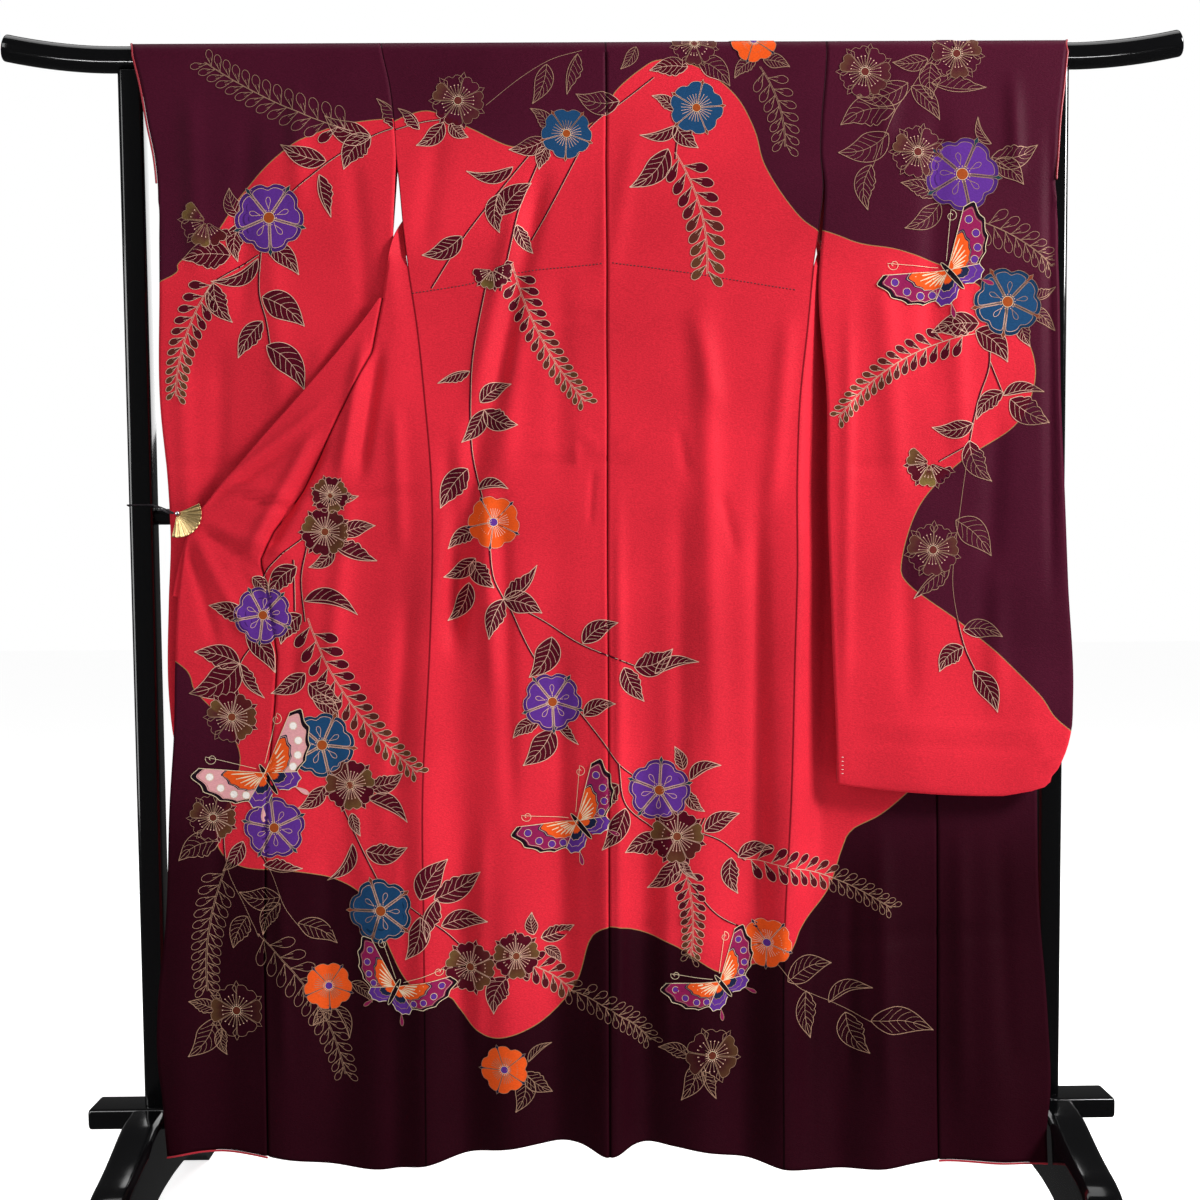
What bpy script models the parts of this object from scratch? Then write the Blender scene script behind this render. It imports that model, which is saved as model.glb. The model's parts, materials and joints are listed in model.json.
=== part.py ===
"""Furisode kimono, hung back outwards on a lacquered kimono stand.

Metres, +Z up. The viewer of the back stands at -Y. The origin is on the floor, at the middle
of the whole model's box. The rail runs through both sleeves and under the shoulders, the left
front is drawn round in front of the left sleeve by a fan clip, and the right front is spread
out behind the right sleeve. Left and right are the viewer's.
"""

import math

import bmesh
import bpy
import numpy as np

# Cloth
CLOTH = 0.0018
SEAM = 0.0003

# Stand
RAIL_Z = 1.721
RAIL_RADIUS = 0.019
RAIL_HALF = 0.860
RAIL_BEND = 0.170
RAIL_RISE = 0.018
POST_X = 0.676
POST_WIDTH = 0.036
POST_DEPTH = 0.040
POST_ROUND = 0.007
MIDDLE_RAIL_Z = 1.057
MIDDLE_RAIL_RADIUS = 0.012
LOWER_RAIL_TOP = 0.170
LOWER_RAIL_HALF = 0.775
LOWER_RAIL_DEPTH = 0.072
LOWER_RAIL_HEIGHT = 0.031
LOWER_RAIL_ROUND = 0.005
FOOT_X = 0.684
FOOT_WIDTH = 0.056
FOOT_HALF = 0.300
FOOT_ROUND = 0.012

# Cloth over the rail: flat facets outside a round bar, so that they clear it all round
DRAPE_STEPS = 6
DRAPE_INNER = (RAIL_RADIUS + SEAM) / math.cos(math.pi / 2 / DRAPE_STEPS)
DRAPE = DRAPE_INNER + CLOTH

# Where the pieces end
UNDERARM_Z = 1.410
ARMHOLE_Z = 1.570
WRIST_Z = 1.510
KENSAKI_Z = 1.366
HEM_LEVEL = 0.100
HEM_FADE_Z = 1.000
CENTRE_SEAM_TOP = 0.016
NECK_HALF = 0.088

# Small pieces
ROLL_RADIUS = 0.0015
ROLL_INSET = 0.004
FAN_RADIUS = 0.035
FAN_FOLDS = 10
FAN_FROM = math.radians(24)
FAN_TO = math.radians(-104)
FAN_HUB = 0.0045
FAN_PIVOT = (-0.6105, -0.0668, 1.058)
FAN_PLATE = 0.0010
FAN_PLEAT = 0.0011
BEAD_RADIUS = 0.0035
CORD_RADIUS = 0.0011
CORD_POST_Z = 1.0715


def table(columns, *rows):
    """One array for each named column, from rows that run from low to high."""
    return dict(zip(columns.split(), np.array(rows, float).T))


# Levels that the cloth's rows pass through, hem to rail
LEVELS = (
    0.100, 0.135, 0.180, 0.240, 0.310, 0.390, 0.470, 0.550, 0.630, 0.700, 0.770, 0.840, 0.900,
    0.950, 1.000, 1.040, 1.080, 1.130, 1.180, 1.230, 1.280, 1.325, 1.366, 1.394, 1.410, 1.428,
    1.448, 1.466, 1.484, 1.502, 1.530, 1.570, 1.610, 1.650, 1.690, 1.721,
)

# Side seams below the underarm, the body's open side above it, and the armholes at the top
BODY = table(
    "z left centre right",
    (0.100, -0.260, 0.008, 0.262),
    (0.450, -0.260, 0.010, 0.266),
    (0.640, -0.260, 0.011, 0.277),
    (0.850, -0.248, 0.012, 0.284),
    (0.960, -0.243, 0.012, 0.288),
    (1.110, -0.243, 0.013, 0.289),
    (1.220, -0.251, 0.014, 0.294),
    (1.325, -0.261, 0.014, 0.306),
    (1.410, -0.273, 0.015, 0.315),
    (1.470, -0.280, 0.015, 0.324),
    (1.530, -0.285, 0.015, 0.330),
    (1.570, -0.289, 0.015, 0.327),
    (1.620, -0.292, 0.016, 0.329),
    (1.680, -0.299, 0.016, 0.335),
    (1.721, -0.308, 0.016, 0.338),
    (1.742, -0.312, 0.016, 0.338),
)

# Depth of each layer's outer face: minus is towards the viewer
DEPTH = table(
    "z back left_front right_front left_sleeve left_rear right_sleeve right_rear",
    (0.080, -0.108, -0.100, -0.112, -0.052, -0.036, -0.086, -0.070),
    (0.170, -0.102, -0.095, -0.096, -0.052, -0.036, -0.086, -0.070),
    (0.400, -0.092, -0.084, -0.068, -0.052, -0.036, -0.086, -0.070),
    (0.640, -0.082, -0.074, -0.050, -0.052, -0.036, -0.085, -0.067),
    (0.800, -0.076, -0.069, -0.041, -0.051, -0.035, -0.079, -0.060),
    (1.060, -0.066, -0.063, -0.030, -0.049, -0.032, -0.067, -0.048),
    (1.300, -0.056, -0.059, -0.022, -0.047, -0.030, -0.055, -0.037),
    (1.420, -0.049, -0.056, -0.017, -0.046, -0.028, -0.048, -0.030),
    (1.490, -0.045, -0.050, -0.012, -0.045, -0.027, -0.045, -0.027),
    (1.570, -0.0385, -0.045, -0.010, -0.0385, -0.010, -0.0385, -0.010),
    (1.640, -0.0310, -0.040, -0.010, -0.0310, 0.0060, -0.0310, 0.0060),
    (1.690, -0.0250, -0.040, -0.010, -0.0250, 0.0180, -0.0250, 0.0180),
    (1.721, -DRAPE, -0.040, -0.010, -DRAPE, DRAPE, -DRAPE, DRAPE),
)

# Seams between the fronts and their overlaps, below the overlaps' upper points
OVERLAP_SEAM = table(
    "z left right",
    (0.100, -0.493, 0.493), (0.420, -0.495, 0.498), (0.640, -0.489, 0.499), (0.780, -0.475, 0.499),
    (0.850, -0.471, 0.498), (0.930, -0.481, 0.496), (0.990, -0.493, 0.489), (1.030, -0.475, 0.480),
    (1.090, -0.430, 0.458), (1.200, -0.375, 0.414), (1.290, -0.326, 0.378), (1.366, -0.310, 0.356),
    (1.394, -0.306, 0.349), (1.410, -0.303, 0.345),
)

# Fronts above the underarm, gathered through the gap beside the sleeve and turned half round:
# the open side or armhole edge, and the neck edge
LEFT_UPPER = table(
    "z side_x side_y edge_x edge_y",
    (1.428, -0.2765, -0.0410, -0.3000, -0.0545),
    (1.448, -0.2720, -0.0320, -0.2950, -0.0515),
    (1.466, -0.2710, -0.0240, -0.2880, -0.0430),
    (1.484, -0.2740, -0.0170, -0.2770, -0.0320),
    (1.502, -0.2800, -0.0130, -0.2620, -0.0180),
    (1.530, -0.2850, -0.0130, -0.2240, -0.0030),
    (1.570, -0.2890, -0.0100, -0.1800, 0.0080),
    (1.610, -0.2920, 0.0000, -0.1400, 0.0150),
    (1.650, -0.2950, 0.0080, -0.1040, 0.0200),
    (1.690, -0.3000, 0.0180, CENTRE_SEAM_TOP - NECK_HALF, 0.0235),
    (1.721, -0.3080, DRAPE, CENTRE_SEAM_TOP - SEAM / 2, DRAPE),
)
RIGHT_UPPER = table(
    "z side_x side_y edge_x edge_y",
    (1.428, 0.3185, -0.0400, 0.3410, -0.0165),
    (1.448, 0.3170, -0.0320, 0.3360, -0.0120),
    (1.466, 0.3165, -0.0280, 0.3280, -0.0060),
    (1.484, 0.3200, -0.0220, 0.3140, -0.0010),
    (1.502, 0.3260, -0.0160, 0.2960, 0.0020),
    (1.530, 0.3290, -0.0130, 0.2560, 0.0060),
    (1.570, 0.3270, -0.0100, 0.2120, 0.0100),
    (1.610, 0.3290, 0.0000, 0.1720, 0.0150),
    (1.650, 0.3320, 0.0080, 0.1360, 0.0200),
    (1.690, 0.3360, 0.0180, CENTRE_SEAM_TOP + NECK_HALF, 0.0235),
    (1.721, 0.3380, DRAPE, CENTRE_SEAM_TOP + SEAM / 2, DRAPE),
)

# Free edge of each overlap: down the drawn-back collar line, round the corner, then to the hem
LEFT_OVERLAP = table(
    "z edge",
    (0.100, -0.640), (0.135, -0.643), (0.190, -0.647), (0.240, -0.653), (0.330, -0.652),
    (0.450, -0.639), (0.640, -0.630), (0.730, -0.623), (0.860, -0.618), (0.936, -0.613),
    (0.990, -0.605), (1.026, -0.599), (1.049, -0.591), (1.072, -0.571), (1.102, -0.545),
    (1.159, -0.495), (1.233, -0.427), (1.296, -0.371), (1.350, -0.326), (1.366, -0.3145),
)
RIGHT_OVERLAP = table(
    "z edge",
    (0.100, 0.652), (0.150, 0.653), (0.190, 0.659), (0.300, 0.659), (0.362, 0.656),
    (0.446, 0.650), (0.640, 0.647), (0.800, 0.645), (0.900, 0.640), (0.990, 0.628),
    (1.050, 0.604), (1.100, 0.566), (1.160, 0.520), (1.230, 0.465), (1.300, 0.409),
    (1.350, 0.371), (1.366, 0.3605),
)

# Height of the hem along its width
HEM = table(
    "x z",
    (-0.655, 0.118), (-0.600, 0.126), (-0.563, 0.126), (-0.494, 0.119), (-0.438, 0.108),
    (-0.300, 0.100), (-0.260, 0.107), (-0.169, 0.124), (-0.090, 0.133), (-0.037, 0.132),
    (0.008, 0.117), (0.048, 0.130), (0.103, 0.128), (0.168, 0.116), (0.223, 0.103),
    (0.262, 0.095), (0.399, 0.092), (0.490, 0.101), (0.609, 0.099), (0.660, 0.097),
)

# Hanging folds: where each stands at the hem and at its top, its half width and its rise
# towards the viewer at the hem, minus for a trough
BACK_FOLDS = table(
    "hem_x top_x top_z half_width rise",
    (-0.262, -0.262, 1.30, 0.034, 0.016),
    (-0.200, -0.215, 1.25, 0.030, -0.014),
    (-0.135, -0.150, 1.30, 0.032, 0.010),
    (-0.062, -0.070, 1.30, 0.030, -0.016),
    (0.010, 0.014, 1.10, 0.024, 0.018),
    (0.064, 0.070, 1.20, 0.026, -0.014),
    (0.140, 0.150, 1.45, 0.036, 0.011),
    (0.212, 0.222, 1.20, 0.030, -0.014),
    (0.268, 0.290, 1.30, 0.034, 0.016),
)
LEFT_FOLDS = table(
    "hem_x top_x top_z half_width rise",
    (-0.330, -0.290, 1.32, 0.030, 0.008),
    (-0.400, -0.330, 1.25, 0.034, -0.009),
    (-0.475, -0.440, 1.10, 0.030, 0.008),
    (-0.560, -0.540, 1.05, 0.034, -0.008),
    (-0.625, -0.600, 0.95, 0.026, 0.006),
)
RIGHT_FOLDS = table(
    "hem_x top_x top_z half_width rise",
    (0.345, 0.350, 0.70, 0.028, -0.010),
    (0.410, 0.420, 0.72, 0.032, 0.010),
    (0.500, 0.490, 0.72, 0.034, -0.007),
    (0.580, 0.575, 0.72, 0.032, 0.006),
)
SLEEVE_FOLDS = table(
    "hem_x top_x top_z half_width rise",
    (0.395, 0.370, 1.50, 0.030, -0.003),
    (0.470, 0.450, 1.60, 0.036, 0.004),
    (0.560, 0.550, 1.60, 0.038, -0.004),
    (0.640, 0.620, 1.50, 0.030, 0.003),
)

# Sleeves, as x out from the centre line: the inner opening's edge and the outer edge of the
# viewer's layer, then the same of the rear layer
LEFT_SLEEVE = table(
    "z inner outer rear_inner rear_outer",
    (0.636, 0.330, 0.540, 0.330, 0.540),
    (0.644, 0.330, 0.580, 0.330, 0.580),
    (0.667, 0.329, 0.606, 0.329, 0.606),
    (0.693, 0.328, 0.620, 0.328, 0.620),
    (0.730, 0.326, 0.629, 0.326, 0.629),
    (0.780, 0.324, 0.634, 0.324, 0.634),
    (0.930, 0.318, 0.632, 0.318, 0.632),
    (1.020, 0.314, 0.627, 0.314, 0.627),
    (1.100, 0.311, 0.629, 0.311, 0.629),
    (1.220, 0.307, 0.638, 0.307, 0.638),
    (1.394, 0.300, 0.635, 0.302, 0.635),
    (1.448, 0.2945, 0.634, 0.297, 0.634),
    (1.484, 0.2935, 0.633, 0.294, 0.633),
    (1.530, 0.2910, 0.633, 0.2910, 0.630),
    (1.570, 0.2893, 0.637, 0.2893, 0.632),
    (1.620, 0.2923, 0.647, 0.2923, 0.636),
    (1.680, 0.2993, 0.658, 0.2993, 0.644),
    (1.721, 0.3083, 0.668, 0.3083, 0.652),
    (1.742, 0.3123, 0.673, 0.3123, 0.673),
)
RIGHT_SLEEVE = table(
    "z inner outer rear_inner rear_outer",
    (0.636, 0.347, 0.590, 0.347, 0.590),
    (0.644, 0.346, 0.634, 0.346, 0.634),
    (0.667, 0.345, 0.663, 0.346, 0.663),
    (0.693, 0.344, 0.679, 0.347, 0.679),
    (0.730, 0.343, 0.690, 0.349, 0.690),
    (0.780, 0.341, 0.693, 0.352, 0.693),
    (0.950, 0.336, 0.686, 0.352, 0.686),
    (1.070, 0.333, 0.682, 0.352, 0.682),
    (1.213, 0.333, 0.677, 0.352, 0.677),
    (1.394, 0.3225, 0.675, 0.352, 0.675),
    (1.448, 0.3270, 0.674, 0.350, 0.674),
    (1.484, 0.3300, 0.673, 0.346, 0.672),
    (1.530, 0.3320, 0.668, 0.336, 0.650),
    (1.570, 0.3273, 0.671, 0.3273, 0.650),
    (1.620, 0.3293, 0.675, 0.3293, 0.650),
    (1.680, 0.3353, 0.683, 0.3353, 0.650),
    (1.721, 0.3383, 0.688, 0.3383, 0.653),
    (1.742, 0.3383, 0.691, 0.3383, 0.691),
)

SLEEVE_LEVELS = tuple(z for z in LEVELS if 0.72 < z and z not in (1.410, 1.428, 1.466, 1.502))
BACK_LEVELS = tuple(z for z in LEVELS if z not in (1.428, 1.448, 1.484, 1.502))
BOTTOM_STEPS = 3
BOTTOM_TURN = 67.5
BOTTOM_FLAT = 0.35
BOTTOM_TILT = 0.020
SLEEVE_BOTTOM = 0.636
SHOULDER_FLAT = 0.27
EDGE_BULGE = 0.7
EDGE_SHARES = ((0.55, 0.15), (0.25, 0.0), (0.0, 0.0))
PINCH_DEPTH = 0.006

# Shares of each piece's width where its columns run, with narrow strips along the seams
BACK_SHARES = np.array([0, 0.02, 0.12, 0.22, 0.33, 0.44, 0.55, 0.66, 0.77, 0.88, 0.98, 1])[None, :]
FRONT_SHARES = np.array([0, 0.02, 0.07, 0.13, 0.20, 0.30, 0.42, 0.55, 0.70, 0.84, 0.97, 1])[None, :]
OVERLAP_SHARES = np.array([0.0, 0.06, 0.30, 0.55, 0.78, 1.0])[None, :]
SLEEVE_SHARES = np.array([0.0, 0.02, 0.15, 0.29, 0.43, 0.57, 0.71, 0.85, 1.0])

# How fast a spread front turns away from its side seam, at the underarm and lower down
TURN_NARROW = 0.030
TURN_WIDE = 0.050
TURN_FADE = 0.250

# Collar ends folded back behind the fronts: fold edge, width, and lean of the width from down
COLLAR_GAP = 0.0006
LEFT_COLLAR = table(
    "x z width lean",
    (-0.622, 0.938, 0.030, 88), (-0.6165, 0.965, 0.042, 80), (-0.6075, 1.000, 0.050, 72),
    (-0.600, 1.026, 0.052, 62), (-0.588, 1.050, 0.052, 54), (-0.565, 1.077, 0.052, 50),
    (-0.530, 1.118, 0.050, 49), (-0.490, 1.163, 0.046, 48), (-0.450, 1.206, 0.042, 48),
    (-0.410, 1.251, 0.036, 48), (-0.372, 1.293, 0.028, 49), (-0.340, 1.331, 0.018, 50),
)
RIGHT_COLLAR = table(
    "x z width lean",
    (0.641, 0.880, 0.050, 88), (0.636, 0.930, 0.052, 80), (0.624, 0.995, 0.052, 68),
    (0.600, 1.050, 0.052, 54), (0.562, 1.102, 0.050, 48), (0.516, 1.160, 0.046, 46),
    (0.470, 1.220, 0.040, 46), (0.425, 1.276, 0.032, 48), (0.390, 1.320, 0.020, 50),
)

# Collar round the neck, one half from its end to the centre of the back: distance from the
# centre, depth, level, width, and lean of the width from straight down
COLLAR_INSET = 0.0004
NECK_COLLAR = (
    (0.278, -0.0180, 1.502, 0.020, 50),
    (0.240, -0.0030, 1.530, 0.036, 48),
    (0.196, 0.0080, 1.570, 0.046, 46),
    (0.156, 0.0150, 1.610, 0.050, 44),
    (0.120, 0.0200, 1.650, 0.052, 42),
    (0.088, 0.0235, 1.690, 0.054, 34),
    (0.044, 0.0226, 1.7055, 0.054, 12),
    (0.0, DRAPE, 1.721, 0.054, 0),
)

# Side outline of a foot: its top from the rail's notch to the toe, and the arch under it
FOOT_TOP = table(
    "y z",
    (0.0363, 0.168), (0.075, 0.164), (0.105, 0.156), (0.135, 0.146), (0.170, 0.135),
    (0.205, 0.126), (0.240, 0.118), (0.268, 0.106), (0.287, 0.086), (0.297, 0.058),
    (0.300, 0.030), (0.300, 0.000),
)
FOOT_ARCH = table(
    "y z",
    (0.000, 0.060), (0.060, 0.058), (0.110, 0.052), (0.150, 0.043), (0.185, 0.031), (0.212, 0.016),
    (0.230, 0.000),
)


def smooth(at, xs, ys):
    """A cubic curve through the points (xs, ys), read at the places in `at`."""
    at = np.clip(np.asarray(at, float), xs[0], xs[-1])
    slopes = np.gradient(ys, xs)
    i = np.clip(np.searchsorted(xs, at, side="right") - 1, 0, len(xs) - 2)
    span = xs[i + 1] - xs[i]
    t = (at - xs[i]) / span
    start = (1 + 2 * t) * (1 - t) ** 2 * ys[i] + t * (1 - t) ** 2 * span * slopes[i]
    end = t**2 * (3 - 2 * t) * ys[i + 1] - t**2 * (1 - t) * span * slopes[i + 1]
    return start + end


def ease(t):
    """Rises from 0 to 1 with no slope at either end."""
    t = np.clip(t, 0.0, 1.0)
    return t * t * (3 - 2 * t)


def folds(rows, x, z):
    """Forward rise of a group of hanging folds: round ridges that deepen towards the hem."""
    total = np.zeros(np.broadcast(x, z).shape)
    for hem_x, top_x, top_z, half_width, rise in zip(*rows.values()):
        down = np.clip((top_z - z) / (top_z - HEM_LEVEL), 0.0, 1.0)
        middle = top_x + (hem_x - top_x) * down
        total = total + rise * ease(down) * np.exp(-(((x - middle) / half_width) ** 2))
    return total


def height(x, z):
    """Level z of a row at x, with the hem's own waves worked in below the waist."""
    share = np.clip((HEM_FADE_Z - z) / (HEM_FADE_Z - HEM_LEVEL), 0.0, 1.0)
    return z + (smooth(x, HEM["x"], HEM["z"]) - HEM_LEVEL) * share**2


def depth(layer, z):
    return smooth(z, DEPTH["z"], DEPTH[layer])


def body_seam(side, z):
    """Outer edge of one body panel: its side seam, open side and armhole."""
    return smooth(z, BODY["z"], BODY["left" if side < 0 else "right"])


def panel_depth(side, x, z):
    """Depth of a spread front, away from its side seam."""
    rows = LEFT_FOLDS if side < 0 else RIGHT_FOLDS
    return depth("left_front" if side < 0 else "right_front", z) - folds(rows, x, z)


def back_rows(side):
    """Rows of the back from the hem to the rail, side seam to centre seam."""
    z = np.array(BACK_LEVELS)[:, None]
    start = body_seam(side, z)
    end = smooth(z, BODY["z"], BODY["centre"]) + SEAM / 2 * side
    x = start + (end - start) * BACK_SHARES
    level = x.copy()
    level[:, -2:] = end - SEAM / 2 * side
    y = depth("back", z) - folds(BACK_FOLDS, level, z)
    return np.stack([x, y, height(level, z)], axis=-1)


def drape_rows(side):
    """Rows over the rail, from the viewer's side to the far side."""
    turns = np.linspace(0, math.pi, DRAPE_STEPS + 1)[1:-1][:, None]
    z = RAIL_Z + DRAPE * np.sin(turns)
    start = body_seam(side, z)
    x = start + (CENTRE_SEAM_TOP + SEAM / 2 * side - start) * BACK_SHARES
    return np.stack([x, -DRAPE * np.cos(turns) + 0 * x, z + 0 * x], axis=-1)


def upper_front_rows(side):
    """Rows of a front from the rail down to its underarm, open side to neck edge."""
    rows = LEFT_UPPER if side < 0 else RIGHT_UPPER
    z = np.array([level for level in LEVELS if level > UNDERARM_Z])[::-1][:, None]
    side_x, side_y, edge_x, edge_y = (
        np.interp(z, rows["z"], rows[name]) for name in ("side_x", "side_y", "edge_x", "edge_y")
    )
    sewn = z >= ARMHOLE_Z
    side_x = np.where(sewn, body_seam(side, z), side_x)
    side_y = np.where(sewn, depth("left_rear" if side < 0 else "right_rear", z), side_y)
    x = side_x + (edge_x - side_x) * FRONT_SHARES
    y = side_y + (edge_y - side_y) * FRONT_SHARES
    return np.stack([x, y, z + 0 * x], axis=-1)


def lower_front_rows(side):
    """Rows of a front from its underarm to the hem, side seam to overlap seam."""
    z = np.array([level for level in LEVELS if level <= UNDERARM_Z])[::-1][:, None]
    seam_x = body_seam(side, z)
    seam_y = depth("back", z) - folds(BACK_FOLDS, seam_x, z)
    edge_x = np.interp(z, OVERLAP_SEAM["z"], OVERLAP_SEAM["left" if side < 0 else "right"])
    start = seam_x + SEAM * side
    x = start + (edge_x - start) * FRONT_SHARES
    turn = TURN_NARROW + (TURN_WIDE - TURN_NARROW) * ease((UNDERARM_Z - z) / TURN_FADE)
    share = ease(np.abs(x - start) / turn)
    y = seam_y + (panel_depth(side, x, z) - seam_y) * share
    return np.stack([x, y, height(x, z)], axis=-1)


def overlap_rows(side):
    """Rows of the overlap from its upper point to the hem, overlap seam to free edge."""
    edges = LEFT_OVERLAP if side < 0 else RIGHT_OVERLAP
    z = np.array([level for level in LEVELS if level <= KENSAKI_Z])[::-1][:, None]
    seam = np.interp(z, OVERLAP_SEAM["z"], OVERLAP_SEAM["left" if side < 0 else "right"])
    start = seam + SEAM * side
    end = smooth(z, edges["z"], edges["edge"])
    x = start + (end - start) * OVERLAP_SHARES
    return np.stack([x, panel_depth(side, x, z), height(x, z)], axis=-1)


def sleeve_levels(side):
    """Level, front depth and rear depth of each row, from the shoulder fold to the bottom. The
    layers end side by side on a flat strip at the fold, and on another at the bottom."""
    front, rear = ("left_sleeve", "left_rear") if side < 0 else ("right_sleeve", "right_rear")
    top = RAIL_Z + DRAPE
    spans = [(top, -SEAM / 2, SEAM / 2), (top, -SHOULDER_FLAT * DRAPE, SHOULDER_FLAT * DRAPE)]
    for turn in np.linspace(math.pi / 2, 0, DRAPE_STEPS // 2 + 1)[1:-1]:
        reach = DRAPE * math.cos(turn)
        spans.append((RAIL_Z + DRAPE * math.sin(turn), -reach, reach))
    spans += [(z, float(depth(front, z)), float(depth(rear, z))) for z in SLEEVE_LEVELS[::-1]]
    lowest = SLEEVE_LEVELS[0]
    turns = np.radians(np.linspace(0, BOTTOM_TURN, BOTTOM_STEPS + 1)[1:])
    closing = [(lowest - (lowest - SLEEVE_BOTTOM) * math.sin(t), math.sqrt(math.cos(t))) for t in turns]
    closing += [(SLEEVE_BOTTOM, BOTTOM_FLAT), (SLEEVE_BOTTOM, 0.0)]
    for z, share in closing:
        middle = float(depth(rear, z) + depth(front, z)) / 2
        half = max(float(depth(rear, z) - depth(front, z)) / 2 * share, SEAM / 2)
        spans.append((z, middle - half, middle + half))
    return spans


def sleeve_rows(side, layer):
    """Rows of one layer of a sleeve, from the shoulder fold to the bottom, each from the body
    side to the outer edge and round to the seam there. The layer is -1 for the viewer's and 1
    for the rear one."""
    rows = LEFT_SLEEVE if side < 0 else RIGHT_SLEEVE
    names = ("inner", "outer") if layer < 0 else ("rear_inner", "rear_outer")
    grid = []
    for z, near, far in sleeve_levels(side):
        inner, outer = (float(smooth(z, rows["z"], rows[name])) for name in names)
        middle, half = (near + far) / 2, (far - near) / 2
        bulge = EDGE_BULGE * half if z < WRIST_Z else 0.0
        pinch = min(1.0, half / PINCH_DEPTH)
        lift = BOTTOM_TILT * ease((HEM_FADE_Z - z) / (HEM_FADE_Z - SLEEVE_BOTTOM))
        x = inner + (outer - bulge - inner) * SLEEVE_SHARES
        y = middle + layer * half - folds(SLEEVE_FOLDS, x, z) * pinch
        x = np.append(x, [outer - bulge * share for _, share in EDGE_SHARES])
        y = np.append(y, [middle + layer * max(half * share, SEAM / 2) for share, _ in EDGE_SHARES])
        raised = z + lift * (1 - (x - inner) / (outer - inner)) ** 2
        grid.append(np.stack([side * x, y, raised], axis=-1))
    return np.array(grid)


def sleeve_open(side):
    """Test for the faces left out at a sleeve's wrist opening."""
    levels = [z for z, _, _ in sleeve_levels(side)]
    first = len(SLEEVE_SHARES) - 1

    def left_out(row, column):
        return column >= first and levels[row + 1] >= WRIST_Z

    return left_out


def laid_collar_rows(side):
    """Rows of a collar end folded back behind a front, from its tip upwards."""
    rows = LEFT_COLLAR if side < 0 else RIGHT_COLLAR
    lean = np.radians(rows["lean"])[:, None]
    share = np.array([0.0, 0.5, 1.0])[None, :]
    reach = rows["width"][:, None] * share
    x = rows["x"][:, None] - side * reach * np.sin(lean)
    z = rows["z"][:, None] - reach * np.cos(lean)
    y = panel_depth(side, x, z) + CLOTH + COLLAR_GAP
    return np.stack([x, y, z], axis=-1)


def neck_collar_rows():
    """Rows of the collar round the back of the neck, hanging from the neck edge."""
    halves = [(-1, row) for row in NECK_COLLAR] + [(1, row) for row in NECK_COLLAR[-2::-1]]
    grid = []
    for side, (x, y, z, width, lean) in halves:
        turn = math.radians(lean)
        reaches = [COLLAR_INSET + width * share for share in (0.0, 0.5, 1.0)]
        grid.append(
            [
                (CENTRE_SEAM_TOP + side * (x - reach * math.sin(turn)), y, z - reach * math.cos(turn))
                for reach in reaches
            ]
        )
    return np.array(grid)


def clear_scene():
    for obj in list(bpy.data.objects):
        bpy.data.objects.remove(obj, do_unlink=True)


def material(name, colour, roughness, metallic=0.0):
    """A Principled material from a linear colour."""
    made = bpy.data.materials.new(name)
    made.use_nodes = True
    shader = made.node_tree.nodes["Principled BSDF"]
    shader.inputs["Base Color"].default_value = (*colour, 1.0)
    shader.inputs["Roughness"].default_value = roughness
    shader.inputs["Metallic"].default_value = metallic
    return made


def place(obj, group, finish):
    group.objects.link(obj)
    obj.data.materials.append(finish)
    return obj


def cloth(name, grid, group, finish, flip=False, open_faces=None, weld=False):
    """A wall of cloth: the open surface through a grid of points, thickened inwards."""
    rows, columns = grid.shape[:2]
    index = np.arange(rows * columns).reshape(rows, columns)
    quads = []
    for r in range(rows - 1):
        for c in range(columns - 1):
            if open_faces is not None and open_faces(r, c):
                continue
            quad = [index[r, c], index[r, c + 1], index[r + 1, c + 1], index[r + 1, c]]
            quads.append([int(i) for i in (quad[::-1] if flip else quad)])
    mesh = bpy.data.meshes.new(name)
    mesh.from_pydata(grid.reshape(-1, 3).tolist(), [], quads)
    if weld:
        shape = bmesh.new()
        shape.from_mesh(mesh)
        bmesh.ops.remove_doubles(shape, verts=shape.verts, dist=0.00005)
        loose = [vert for vert in shape.verts if not vert.link_faces]
        bmesh.ops.delete(shape, geom=loose, context="VERTS")
        shape.to_mesh(mesh)
        shape.free()
    mesh.shade_smooth()
    obj = place(bpy.data.objects.new(name, mesh), group, finish)
    wall = obj.modifiers.new("Wall", "SOLIDIFY")
    wall.thickness = CLOTH
    wall.offset = -1.0
    return obj


def tube(name, points, radius, group, finish, sides=4, closed=False):
    """A round bar or cord along a path, with filled ends."""
    curve = bpy.data.curves.new(name, "CURVE")
    curve.dimensions = "3D"
    curve.bevel_depth = radius
    curve.bevel_resolution = sides
    curve.use_fill_caps = not closed
    path = curve.splines.new("POLY")
    path.points.add(len(points) - 1)
    for point, place_at in zip(path.points, points):
        point.co = (*place_at, 1.0)
    path.use_cyclic_u = closed
    path.use_smooth = True
    return place(bpy.data.objects.new(name, curve), group, finish)


def block(name, size, centre, rounding, group, finish):
    """A rounded bar from a cube."""
    mesh = bpy.data.meshes.new(name)
    shape = bmesh.new()
    bmesh.ops.create_cube(shape, size=1.0)
    bmesh.ops.scale(shape, vec=size, verts=shape.verts)
    shape.to_mesh(mesh)
    shape.free()
    obj = place(bpy.data.objects.new(name, mesh), group, finish)
    obj.location = centre
    edge = obj.modifiers.new("Rounded edges", "BEVEL")
    edge.width = rounding
    edge.segments = 3
    mesh.shade_smooth()
    return obj


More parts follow.
